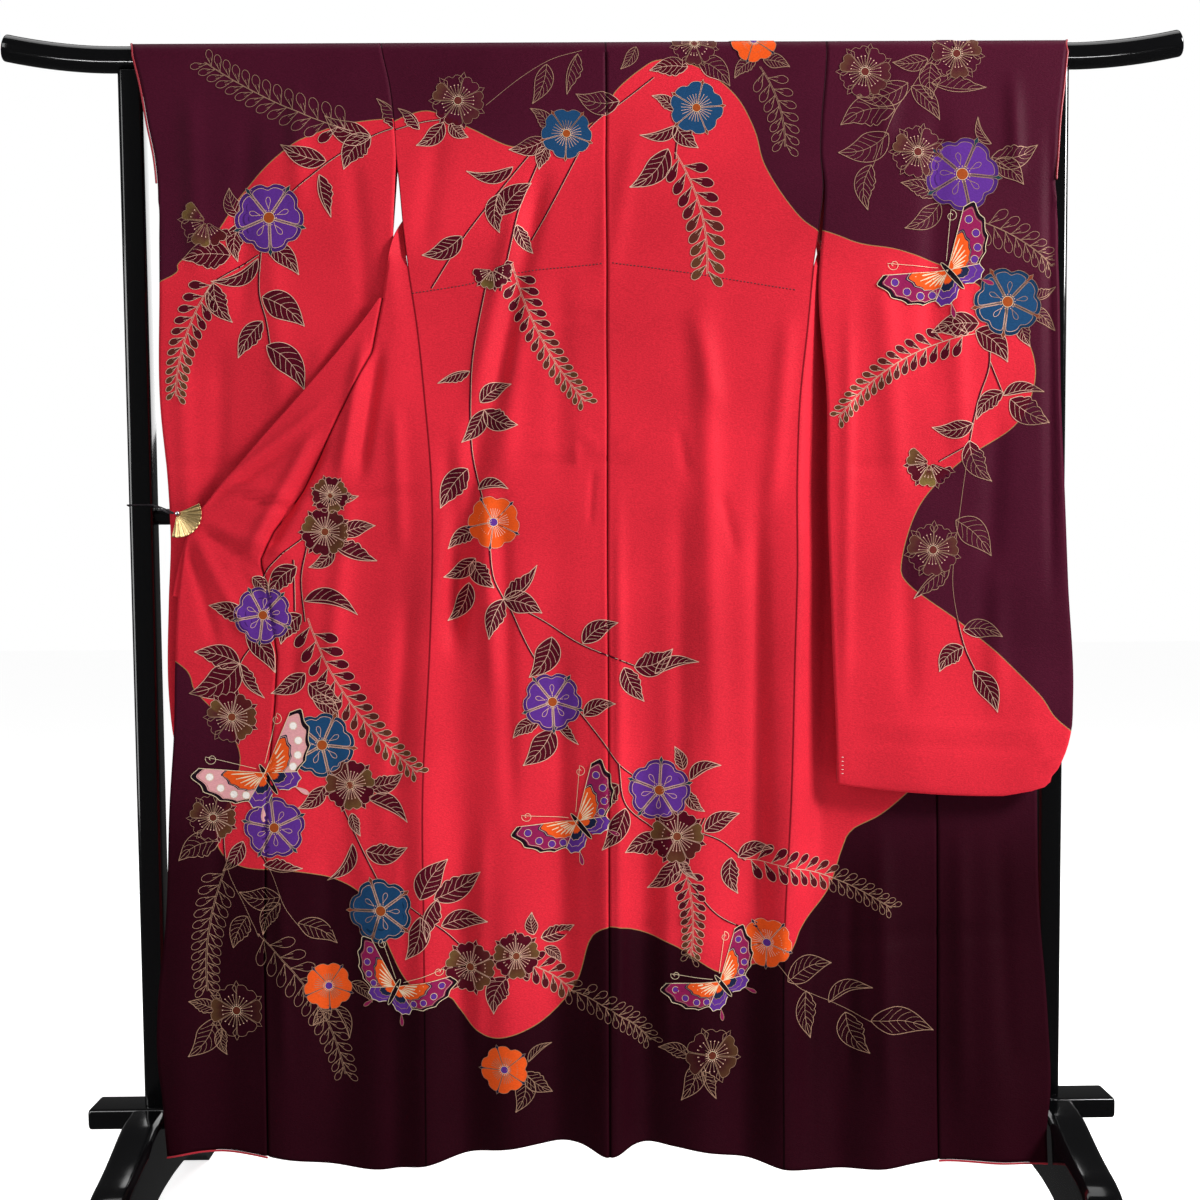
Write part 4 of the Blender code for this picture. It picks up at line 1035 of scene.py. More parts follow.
@dataclass
class BodyPanel(Cloth):
    """One half of the body: a single length from the back hem over the rail to the front hem."""

    columns_between: int = 6
    drape_steps: int = 24

    def back(self) -> Array:
        """Rows of the back from the hem to the rail, side seam to centre seam."""
        z = refine(LEVELS, self.rows_between)[:, None]
        start = body_seam(self.side, z)
        x = start + (centre_seam(z) - start) * refine(BACK_SHARES, self.columns_between)
        return np.stack([x, back_depth(self.side, x, z), height(x, z)], axis=-1)

    def drape(self) -> Array:
        """Rows over the rail: half circles round it, from the viewer's side to the far side."""
        turns = np.linspace(0, math.pi, self.drape_steps + 1)[1:-1][:, None]
        z = RAIL_Z + DRAPE * np.sin(turns)
        start = body_seam(self.side, z)
        x = start + (CENTRE_SEAM_TOP - start) * refine(BACK_SHARES, self.columns_between)
        return np.stack([x, -DRAPE * np.cos(turns) + 0 * x, z + 0 * x], axis=-1)

    def upper_front(self) -> Array:
        """Rows of the front from the rail down to the underarm, open side to neck edge."""
        rows = LEFT_UPPER if self.side < 0 else RIGHT_UPPER
        z = refine(LEVELS[LEVELS > UNDERARM_Z], self.rows_between)[::-1][:, None]
        side_x, side_y, edge_x, edge_y = (read(rows, name, z) for name in list(rows)[1:])
        sewn = z >= ARMHOLE_Z
        side_x = np.where(sewn, body_seam(self.side, z), side_x)
        side_y = np.where(sewn, sleeve_hang(self.side, z)[1], side_y)
        shares = refine(FRONT_SHARES, self.columns_between)
        x = side_x + (edge_x - side_x) * shares
        return np.stack([x, side_y + (edge_y - side_y) * shares, z + 0 * x], axis=-1)

    def lower_front(self) -> Array:
        """Rows of the front from the underarm to the hem, side seam to overlap seam."""
        z = refine(LEVELS[LEVELS <= UNDERARM_Z], self.rows_between)[::-1][:, None]
        start = body_seam(self.side, z)
        x = start + (overlap_seam(self.side, z) - start) * refine(FRONT_SHARES, self.columns_between)
        return np.stack([x, front_depth(self.side, x, z), height(x, z)], axis=-1)

    def build(self) -> None:
        """Joins the stretches, with a few ruled rows across the twist at the underarm."""
        upper, lower = self.upper_front(), self.lower_front()
        shares = ease(np.linspace(0, 1, self.rows_between + 1)[1:-1])[:, None, None]
        twist = upper[-1] + (lower[0] - upper[-1]) * shares
        grid = np.concatenate([self.back(), self.drape(), upper, twist, lower])
        self.finish(grid, [word(self.side) + "_body"], ["top_rail_lacquered"])


@dataclass
class Overlap(Cloth):
    """The half-width panel sewn to a front's edge, tapering to a point below the collar."""

    columns_between: int = 7

    def build(self) -> None:
        """Rows from the upper point to the hem, overlap seam to free edge."""
        edges = LEFT_OVERLAP if self.side < 0 else RIGHT_OVERLAP
        z = refine(LEVELS[LEVELS <= KENSAKI_Z], self.rows_between)[::-1][:, None]
        seam = overlap_seam(self.side, z)
        x = seam + (read(edges, "edge", z) - seam) * refine(OVERLAP_SHARES, self.columns_between)
        grid = np.stack([x, panel_depth(self.side, x, z) + dip(x - seam), height(x, z)], axis=-1)
        side = word(self.side)
        self.finish(grid, [side + "_overlap"], [side + "_body_crepe"])


@dataclass
class Sleeve(Cloth):
    """A long sleeve: one cloth folded over the rail, closed down its outer edge and its bottom."""

    columns: int = 66
    edge_steps: int = 12
    drape_steps: int = 10
    closing_steps: int = 14

    def levels(self) -> tuple[Array, Array, Array]:
        """Level, depth of the viewer's layer and depth of the rear layer of each row, from the
        fold over the rail to the bottom, where the layers close on a round edge."""
        turns = np.linspace(math.pi / 2, 0, self.drape_steps + 1)[:-1]
        reach = DRAPE * np.cos(turns)
        z = refine(LEVELS[LEVELS >= SLEEVE_CLOSING_Z], self.rows_between)[::-1]
        near, far = sleeve_hang(self.side, z)
        turn = np.linspace(0, math.pi / 2, self.closing_steps + 1)[1:]
        low = SLEEVE_CLOSING_Z - (SLEEVE_CLOSING_Z - SLEEVE_BOTTOM) * np.sin(turn)
        low_near, low_far = sleeve_hang(self.side, low)
        middle, half = (low_near + low_far) / 2, (low_far - low_near) / 2 * np.sqrt(np.cos(turn).clip(0))
        over = RAIL_Z + DRAPE * np.sin(turns)
        stretches = (over, z, low), (-reach, near, middle - half), (reach, far, middle + half)
        return tuple(np.concatenate(stretch) for stretch in stretches)

    def build(self) -> None:
        """Loops round the sleeve: viewer's layer outwards, round the outer edge, rear layer back."""
        z, near, far = (values[:, None] for values in self.levels())
        inner, outer, rear_inner, rear_outer = sleeve_edges(self.side, z)
        half = (far - near) / 2
        bulge = EDGE_BULGE * half * ease((WRIST_Z - z) / EDGE_FADE)
        pinch = np.clip(half / PINCH_DEPTH, 0, 1)
        shares = np.linspace(0, 1, self.columns + 1)
        front_x = inner + (outer - bulge - inner) * shares
        rear_x = (rear_inner + (rear_outer - bulge - rear_inner) * shares)[:, ::-1]
        front_y = near - sleeve_relief(self.side, front_x, z) * pinch
        rear_y = far - sleeve_relief(self.side, rear_x, z) * pinch
        turn = np.linspace(0, math.pi, self.edge_steps + 1)[1:-1]
        edge_x = np.where(turn < math.pi / 2, outer, rear_outer) - bulge * (1 - np.sin(turn))
        start, end = front_y[:, -1:], rear_y[:, :1]
        edge_y = (start + end) / 2 - (end - start) / 2 * np.cos(turn)
        x = np.concatenate([front_x, edge_x, rear_x], axis=1)
        y = np.concatenate([front_y, edge_y, rear_y], axis=1)
        grid = np.stack([self.side * x, y, z + bottom_lift(x, z, inner, outer)], axis=-1)
        rows, columns = x.shape
        row, column = np.divmod(np.arange((rows - 1) * (columns - 1)), columns - 1)
        rim = (column >= self.columns) & (column < self.columns + self.edge_steps)
        mouth = rim & (z[row + 1, 0] >= WRIST_Z)
        name = word(self.side) + "_sleeve_"
        self.finish(grid, [name + "back", name + "front"], ["top_rail_lacquered"], ~mouth)


@dataclass
class LaidCollar(Cloth):
    """The end of the collar on one front, folded back behind the overlap's edge."""

    steps: int = 8

    def build(self) -> None:
        """Rows along the fold edge; each runs from the fold across the collar's width."""
        rows = LEFT_COLLAR if self.side < 0 else RIGHT_COLLAR
        x, z, width, lean = (refine(values, self.steps)[:, None] for values in rows.values())
        reach = width * np.linspace(0, 1, 2 * self.steps + 1)
        x = x - self.side * reach * np.sin(np.radians(lean))
        z = z - reach * np.cos(np.radians(lean))
        grid = np.stack([x, panel_depth(self.side, x, z) + CLOTH + COLLAR_GAP, z], axis=-1)
        side = word(self.side)
        self.finish(grid, [side + "_collar"], [side + "_overlap_crepe"])


@dataclass
class NeckCollar(Cloth):
    """The collar round the back of the neck, hanging from the neck edge."""

    steps: int = 8

    def build(self) -> None:
        """Rows from one end round the neck to the other; each runs down the collar's width."""
        rows = NECK_COLLAR
        both = (np.append(rows[name], rows[name][-2::-1]) for name in ("z", "width", "lean"))
        z, width, lean = (refine(values, self.steps)[:, None] for values in both)
        side = np.sign(np.arange(len(z)) - len(z) // 2)[:, None]
        x, y = side * read(rows, "x", z), read(rows, "y", z)
        turn = side * np.radians(lean)
        reach = COLLAR_INSET + width * np.linspace(0, 1, 2 * self.steps + 1)
        x, z = CENTRE_SEAM_TOP + x - reach * np.sin(turn), z - reach * np.cos(turn)
        grid = np.stack([x, y + 0 * x, z], axis=-1)
        self.finish(grid, ["neck_collar"], ["left_body_crepe", "right_body_crepe"])


class Ink:
    """Linear colours of the dyes and pastes."""

    maroon = linear("#4E0C1C")
    gold = linear("#7E6A38")
    paste = linear("#DDB19C")
    dull_paste = linear("#A4806A")
    violet = linear("#5C2F8A")
    indigo = linear("#1E456C")
    orange = linear("#E6561E")
    amber = linear("#A04A20")
    navy = linear("#1C2440")
    teal = linear("#1F3A44")
    umber = linear("#7A3A26")
    pink = linear("#E0A0A4")
    rose = linear("#8C1E50")
    cream = linear("#E8D2B0")
    white = linear("#F6EEE8")
    black = linear("#1C1018")


@dataclass
class Patch:
    """Grids of flat points that share a topology, with their colours.

    The points are grids x rows x columns x 2. A colour's fourth number is how far it holds on
    the plum ground: 0 leaves the plum showing there.
    """

    points: Array
    paint: Array
    lift: float
    piped: bool = False

    def moved(self, x: float, z: float, turn: float = 0.0, flip: bool = False) -> "Patch":
        """The same patch turned by an angle in radians and carried to a place in millimetres."""
        flat = self.points * ([-1, 1] if flip else [1, 1])
        c, s = math.cos(turn), math.sin(turn)
        spun = np.stack([flat[..., 0] * c - flat[..., 1] * s, flat[..., 0] * s + flat[..., 1] * c], -1)
        return Patch(spun + np.array([x, z]) / 1000, self.paint, self.lift, self.piped)


def colour(rgb: Sequence[float], hold: float = 1.0) -> Array:
    """A colour with its hold on the plum ground."""
    return np.array([*rgb, hold])


def ribbons(lines: Array, width: float | Array, paint: Array, lift: float, piped: bool = True) -> Patch:
    """Flat bands along lines (lines x points x 2), of one width or of one for each point.

    Args:
        lines: the middle of each band.
        width: across the band.
        paint: the colour.
        lift: height above the cloth.
        piped: whether it is gold paste.
    """
    lines = np.asarray(lines, float)
    aside = normals(lines) * np.broadcast_to(width, lines.shape[:-1])[..., None] / 2
    return Patch(np.stack([lines - aside, lines + aside], axis=-2), paint, lift, piped)


def normals(lines: Array) -> Array:
    """Directions square to lines, to their left."""
    along = np.gradient(lines, axis=-2)
    along /= np.maximum(np.linalg.norm(along, axis=-1, keepdims=True), 1e-9)
    return np.stack([-along[..., 1], along[..., 0]], -1)


def pipe(lines: Array, lift: float, thin: float = 1.0) -> Patch:
    """Fine lines of pale paste, at a lift in millimetres."""
    return ribbons(lines, FINE_LINE * thin, PIPED, lift * MM)


def normals(lines: Array) -> Array:
    """Directions square to lines, to their left."""
    along = np.gradient(lines, axis=-2)
    along /= np.maximum(np.linalg.norm(along, axis=-1, keepdims=True), 1e-9)
    return np.stack([-along[..., 1], along[..., 0]], -1)


def fans(rims: Array, centres: Array, rings: int, paint: Array, lift: float) -> Patch:
    """Filled shapes: rings from each centre out to its rim, with one colour or one for each point."""
    rims = np.asarray(rims, float)
    share = np.linspace(0, 1, rings + 1)[None, :, None, None]
    centre = np.asarray(centres, float)[:, None, None, :]
    return Patch(centre + (rims[:, None] - centre) * share, paint, lift)


LINE = 0.95 * MM
FINE_LINE = 0.68 * MM
PIPED = colour(Ink.paste)
FULL_TURN = 2 * math.pi


def rim_through(half: Line, steps: int = 4) -> Array:
    """A closed rim from the points of one half, base to tip along +x, and their mirror image."""
    half = np.array(half, float)
    rim = curve_through(np.concatenate([half, half[-2:0:-1] * [1, -1]]), steps, closed=True)
    return np.concatenate([rim, rim[:1]])


def placed(shape: Array, at: Array, turn: Array, size: Array | float) -> Array:
    """Copies of a flat shape, each sized, turned by its angle and carried to its place."""
    turn = np.atleast_1d(turn)
    c, s = np.cos(turn)[:, None], np.sin(turn)[:, None]
    x, y = (shape[None, :, i] * np.broadcast_to(size, turn.shape)[:, None] for i in (0, 1))
    return np.atleast_2d(at)[:, None] + np.stack([x * c - y * s, x * s + y * c], axis=-1)


DROP = rim_through(((0.0, 0.0), (0.20, 0.05), (0.45, 0.14), (0.70, 0.20), (0.92, 0.13), (1.0, 0.0)), 3)
DIAMOND = np.array(((0.0, 0.0), (0.20, 0.18), (0.42, 0.32), (0.75, 0.13), (1.0, 0.0), (0.75, -0.13),
                    (0.42, -0.32), (0.20, -0.18), (0.0, 0.0)))


def leaf(length: float, seed: int) -> list[Patch]:
    """A pointed leaf with a bowed midrib and slant veins.

    Its half width is sin(pi t^0.72)^1.15 at a share t of its length. Odd seeds are scalloped on
    one side, and one in five is folded along its midrib.
    """
    bend = (0.12, -0.14, 0.08, -0.07)[seed % 4]
    wide = length * (0.23, 0.27, 0.21)[seed % 3]
    t = np.linspace(0, 1, 21)
    middle = np.stack([length * t, bend * length * np.sin(math.pi * t)], -1)
    aside = normals(middle) * (wide * np.sin(math.pi * t**0.72) ** 1.15)[:, None]
    scallop = 1 + 0.20 * (seed % 2) * abs(np.sin(5 * math.pi * t))[:, None]
    folded = seed % 5 == 3
    edges = (aside * scallop, -aside * (0.25 if folded else 1.0))
    across = np.linspace(-1, 1, 13)[None, :, None]
    fill = middle[:, None] + np.where(across > 0, edges[0][:, None], -edges[1][:, None]) * across
    share = np.linspace(0, 1, 5)
    veins = [
        along_line(begin + 0.20 * share, t, middle)
        + along_line(begin + 0.20 * share, t, edge) * (0.86 * share**0.8)[:, None]
        for edge in edges[: 1 if folded else 2] for begin in np.linspace(0.12, 0.66, 5)
    ]
    return [
        Patch(fill[None], colour(Ink.maroon, 0), 0.6 * MM),
        ribbons(np.stack([middle + edges[0], middle + edges[1]]), LINE, PIPED, 0.75 * MM),
        pipe(middle[None], 0.72), pipe(np.array(veins), 0.72, 0.7),
    ]


@dataclass(frozen=True)
class Petals:
    """What sets one kind of flower apart: its petals, their dye and lines, and what shows between."""

    dye: tuple[float, float, float]
    count: int = 5
    shown: int = 5
    rays: int = 0
    gilded: float = 0.0
    centre: tuple[float, float, float] | None = Ink.amber
    sepal: tuple[float, float, float] = Ink.teal
    hold: float = 1.0


class Bloom(Enum):
    """The kinds of flower in the design."""

    VIOLET = Petals(Ink.violet)
    INDIGO = Petals(Ink.indigo, sepal=Ink.umber)
    SMALT = Petals(Ink.indigo, rays=4, sepal=Ink.umber)
    ORANGE = Petals(Ink.orange, rays=5, centre=Ink.violet, sepal=Ink.navy)
    MAROON = Petals(Ink.maroon, 7, 7, rays=3, gilded=0.5, centre=Ink.umber, sepal=Ink.maroon, hold=0.0)
    OUTLINE = Petals(Ink.maroon, 6, 6, rays=3, gilded=0.5, centre=Ink.umber, sepal=Ink.maroon, hold=0.0)
    BUD = Petals(Ink.maroon, 7, 4, rays=3, gilded=1.0, centre=None, sepal=Ink.maroon, hold=0.0)


def petal_rim(count: int) -> Array:
    """Rim of one heart-shaped petal that takes its share of a flower of radius 1."""
    lean = math.tan(math.pi / count)
    half = ((0.10, 0.0), (0.16, 0.80), (0.34, 0.90), (0.52, 0.935), (0.70, 0.95), (0.86, 0.88), (0.97, 0.56),
            (1.0, 0.26), (0.92, 0.0))
    return rim_through([(x, x * lean * share) for x, share in half], 3)


def dots(centres: Array, radius: float, paint: Array, lift: float) -> Patch:
    """Small filled discs."""
    rims = np.asarray(centres)[:, None] + radius * np.append(circle(1.0, 8), [[1.0, 0.0]], axis=0)
    return fans(rims, centres, 1, paint, lift)


def flower(kind: Bloom, radius: float, turn: float) -> list[Patch]:
    """One flower about its centre, seen open, or half of it as a bud.

    Args:
        kind: which flower.
        radius: to the petals' tips, in metres.
        turn: of the first petal, in radians.
    """
    style: Petals = kind.value
    number = np.arange(style.shown)
    middle = turn + number * FULL_TURN / style.count
    origin = np.zeros((len(middle), 2))
    rim = petal_rim(style.count)
    rims = placed(rim, origin, middle, radius)
    base = polar(0.2 * radius, middle)
    share = np.linspace(0, 1, 6)[None, :, None]
    glint = style.gilded * np.clip(np.sin(2.4 * number + 3 * turn + 0.6), 0, 1)[:, None, None] * ease(share)
    mixed = np.array(style.dye) + (np.array(Ink.gold) - style.dye) * glint[..., None]
    paint = np.concatenate([mixed, np.maximum(glint, style.hold)[..., None]], -1)
    paint = np.broadcast_to(paint, (*rims.shape[:1], 6, rims.shape[1], 4))
    gaps = middle + math.pi / style.count
    clefts = np.stack([polar(reach * radius, gaps) for reach in (0.16, 0.45, 0.76)], 1)
    tips = placed(DIAMOND, polar(0.66 * radius, gaps), gaps, 0.50 * radius)
    made = [
        fans(tips, tips[:, :-1].mean(1), 1, colour(style.sepal, style.hold), 0.8 * MM), pipe(tips, 0.84),
        ribbons(clefts, 1.5 * LINE, colour([c * 0.3 for c in style.dye], style.hold), 0.92 * MM, False),
        fans(rims, base, 5, paint, 0.95 * MM), pipe(rims, 1.15, 0.8),
    ]
    if style.rays:
        spread = np.linspace(-0.5, 0.5, style.rays)[None] * 1.1 * math.pi / style.count + middle[:, None]
        spread = spread.ravel()
        far = radius * (0.62 - 0.06 * (number.repeat(style.rays) % 2))
        made.append(pipe(np.stack([polar(0.24 * radius, spread), polar(far, spread)], 1), 1.12))
        if style.gilded:
            made.append(dots(polar(far, spread), 0.9 * MM, PIPED, 1.14 * MM))
    else:
        inner = placed(rim * 0.85 + [0.04, 0.0], origin, middle, radius)
        made[3] = fans(rims, base, 5, colour([c * 0.55 for c in style.dye]), 0.88 * MM)
        made += [fans(inner, base, 5, colour(style.dye), 1.0 * MM), pipe(inner, 1.12)]
        made.append(pipe(placed(DROP, polar(0.26 * radius, middle), middle, 0.36 * radius), 1.14))
    if style.centre:
        ring = np.linspace(0, FULL_TURN, 17)
        made += [
            dots(np.zeros((1, 2)), 0.17 * radius, colour(style.centre, max(style.hold, 0.5)), 1.2 * MM),
            ribbons(polar(0.17 * radius, ring)[None], FINE_LINE, colour(Ink.cream), 1.25 * MM),
            dots(polar(0.225 * radius, ring[:-1]), 0.8 * MM, PIPED, 1.25 * MM),
        ]
    return made


def wisteria(start: tuple, end: tuple, bend: float, first: float, last: float) -> list[Patch]:
    """A spray of wisteria: a bowed double stem with drops to either side that shrink to its tip.

    Args:
        start: where the stem leaves its branch, in millimetres.
        end: its tip, in millimetres.
        bend: how far it bows to the left of its run, as a share of its length.
        first: length of its first drops, in metres.
        last: length of its last drops, in metres.
    """
    a = np.array(start, float) / 1000
    run = np.array(end, float) / 1000 - a
    t = np.linspace(0, 1, 24)
    stem = a + run * t[:, None] + np.array([-run[1], run[0]]) * bend * (4 * t * (1 - t))[:, None]
    count = max(5, round(float(np.linalg.norm(run)) / (0.36 * (first + last))))
    at = (np.arange(2 * count) / 2 + 0.5) / (count + 0.3)
    at = at * (2 * first + (last - first) * at) / (first + last)
    side = np.where(np.arange(2 * count) % 2, 1.0, -1.0)
    base, along = (along_line(at, t, line) for line in (stem, np.gradient(stem, axis=0)))
    turns = np.arctan2(along[:, 1], along[:, 0]) + side * (0.98 - 0.20 * at)
    size = 1.18 * (first + (last - first) * at)
    base = base + polar(1.2 * MM, turns)
    rims = placed(DROP, base, turns, size)
    veins = np.stack([np.linspace(0.22, 0.5, 3), 0 * t[:3]], -1)
    detail = np.concatenate([placed(veins + [0.0, off], base, turns, size) for off in (-0.07, 0.07)])
    glint = 0.3 * ease(at * 1.5 - 0.45)[:, None, None, None]
    paint = np.array(Ink.maroon) + (np.array(Ink.gold) - np.array(Ink.maroon)) * glint
    paint = np.broadcast_to(np.concatenate([paint, 0.0 * glint], -1), (len(rims), 3, rims.shape[1], 4))
    double = np.stack([stem + [0.9 * MM, 0], stem - [0.9 * MM, 0]])
    return [pipe(double, 0.66, 0.9), fans(rims, rims.mean(1), 2, paint, 0.6 * MM), pipe(rims, 0.7),
            pipe(detail, 0.7, 0.8)]


def vine(points: Line) -> list[Patch]:
    """A branch: a maroon line with a thin piped line along one side."""
    line = curve_through(np.array(points) / 1000, 8)[None]
    stem = ribbons(line, 2.6 * MM, colour(Ink.maroon, 0), 0.45 * MM, False)
    return [stem, pipe(line + [1.4 * MM, 0.0], 0.5)]


@dataclass(frozen=True)
class Wing:
    """One wing about its root, its leading edge along +x and its span turning clockwise.

    The edge's reach follows a curve through points of span share and reach, cut by scallops of
    1 - 0.05 |cos(4.5 pi s)|.
    """

    length: float
    span: float
    outline: Line
    share = np.linspace(0, 1, 41)

    def reach(self, share: Array) -> Array:
        """Distance from the root to the edge at a share of the span."""
        places, reaches = np.array(self.outline).T
        return self.length * smooth(share, places, reaches) * (1 - 0.05 * abs(np.cos(4.5 * math.pi * share)))

    def at(self, shares: Array | float) -> Array:
        """Points across the span at shares of the reach."""
        return polar(self.reach(self.share)[None] * shares, -self.span * self.share[None])

    def band(self, inner: float, out: float, rgb: Sequence[float], lift: float) -> Patch:
        """The part of the wing between two shares of its reach, at a lift in millimetres."""
        return Patch(self.at(np.linspace(inner, out, 5)[:, None])[None], colour(rgb), lift * MM)

    def lines(self, lift: float, rim_lift: float, *shares: float) -> list[Patch]:
        """Fine piped lines at shares of the reach, and a cream line round the edge."""
        edge = ribbons(self.at(1.0), LINE, colour(Ink.cream), rim_lift * MM)
        return [pipe(self.at(share), lift) for share in shares] + [edge]

    def sides(self) -> Patch:
        """The two straight sides, from the root to the edge."""
        ends = self.reach(np.array([0.0, 1.0]))[:, None] * np.linspace(0, 1, 9)
        return ribbons(polar(ends, -self.span * np.array([[0.0], [1.0]])), LINE, colour(Ink.cream), 1.44 * MM)


def upper_wing(length: float, outer: Sequence[float]) -> list[Patch]:
    """Orange heart with pale rays, an outer zone with four ringed spots, and a dark rim."""
    wing = Wing(length, 1.12, ((0, 0.94), (0.08, 1.0), (0.25, 0.92), (0.5, 0.76), (0.75, 0.60), (1, 0.44)))
    rays = np.linspace(0.10, 0.88, 6)
    lines = np.stack([polar(wing.reach(rays) * k, -wing.span * rays) for k in (0.14, 0.30, 0.46)], 1)
    spots = np.array([0.13, 0.36, 0.60, 0.84])
    places = polar(wing.reach(spots) * 0.76, -wing.span * spots)
    rings = placed(np.append(circle(1.0, 10), [[1.0, 0.0]], axis=0), places, 0 * spots, 0.055 * length)
    return [
        wing.band(0.0, 0.58, Ink.orange, 1.30), wing.band(0.56, 0.94, outer, 1.28),
        wing.band(0.93, 1.0, Ink.black, 1.34), wing.band(0.55, 0.60, Ink.navy, 1.34),
        ribbons(lines, np.array([0.8, 2.4, 1.0]) * MM, colour(Ink.cream), 1.38 * MM, False),
        dots(places, 0.05 * length, colour(Ink.white if outer is Ink.pink else Ink.violet), 1.4 * MM),
        ribbons(rings, FINE_LINE * 0.9, colour(Ink.cream), 1.42 * MM), *wing.lines(1.42, 1.44, 0.91, 0.575),
        wing.sides(),
    ]


def lower_wing(length: float, outer: Sequence[float]) -> list[Patch]:
    """A small wing with an orange eye and a tail."""
    wing = Wing(0.50 * length, 1.05, ((0, 0.80), (0.3, 1.0), (0.6, 0.92), (1, 0.60)))
    root = polar(0.44 * length, np.array([-0.62]))
    tail = placed(DROP * [1.0, 0.7], root, np.array([-0.72]), 0.22 * length)
    return [
        fans(tail, tail.mean(1), 1, colour(outer), 1.2 * MM), pipe(tail, 1.25),
        wing.band(0.0, 0.40, Ink.orange, 1.22), wing.band(0.38, 0.62, Ink.navy, 1.22),
        wing.band(0.60, 1.0, Ink.violet, 1.22), *wing.lines(1.3, 1.3, 0.8, 0.6),
    ]


def butterfly(length: float, axis: float, outer: Sequence[float]) -> list[Patch]:
    """A butterfly with open wings, about its thorax.

    Args:
        length: of an upper wing, in metres.
        axis: direction of its head, in radians.
        outer: colour of the upper wings' outer zone.
    """
    curl = np.linspace(0, 1, 22)[1:]
    reach = np.linspace(0.10, 0.80, 20)[:, None] * polar(1.0, np.array(0.78)) + [0.0, 0.04]
    hook = polar(0.085 * (1 - 0.75 * curl), 0.9 - 7.5 * curl) - polar(0.085, np.array(0.9))
    feeler = np.concatenate([reach, reach[-1] + hook])[None] * length
    half = [p.moved(0, 0, -0.34) for p in lower_wing(length, outer)]
    half += [p.moved(0, 0, 0.62) for p in upper_wing(length, outer)]
    half.append(ribbons(feeler, FINE_LINE, colour(Ink.cream), 1.3 * MM))
    made = [p.moved(0, 0, 0, flip) for flip in (False, True) for p in half]
    t = np.linspace(0, FULL_TURN, 17)
    trunk = np.stack([0.038 * np.sin(t), 0.24 * np.cos(t) - 0.1], -1)[None] * length
    made.append(fans(trunk, [[0, -0.1 * length]], 1, colour(Ink.black), 1.5 * MM))
    made.append(ribbons(trunk, FINE_LINE, colour(Ink.cream), 1.55 * MM))
    return [p.moved(0, 0, axis - math.pi / 2) for p in made]


@dataclass
class Design:
    """Where the motifs of one layer go, in millimetres across and up, with angles in degrees.

    blooms: kind, x, z, radius, turn. butterflies: x, z, wing, direction of the head, outer colour.
    tails: wisteria from x, z to x, z, its bow as a share, and its first and last drop. leaves: x,
    z, direction, length. vines: lists of points.
    """

    blooms: Sequence[tuple] = ()
    butterflies: Sequence[tuple] = ()
    tails: Sequence[tuple] = ()
    leaves: Sequence[tuple] = ()
    vines: Sequence[Line] = ()

    def patches(self, mirrored: bool = False) -> list[Patch]:
        """Every patch of the design, in place, and turned left for right if mirrored."""
        made = [p for line in self.vines for p in vine(line)]
        for x1, z1, x2, z2, bend, first, last in self.tails:
            made += wisteria((x1, z1), (x2, z2), bend, first * MM, last * MM)
        for seed, (x, z, turn, length) in enumerate(self.leaves):
            made += [p.moved(x, z, math.radians(turn)) for p in leaf(length * MM, seed)]
        for kind, x, z, radius, turn in self.blooms:
            made += [p.moved(x, z) for p in flower(kind, radius * MM, math.radians(turn))]
        for x, z, length, axis, outer in self.butterflies:
            made += [p.moved(x, z) for p in butterfly(length * MM, math.radians(axis), outer)]
        return [p.moved(0, 0, 0, True) for p in made] if mirrored else made


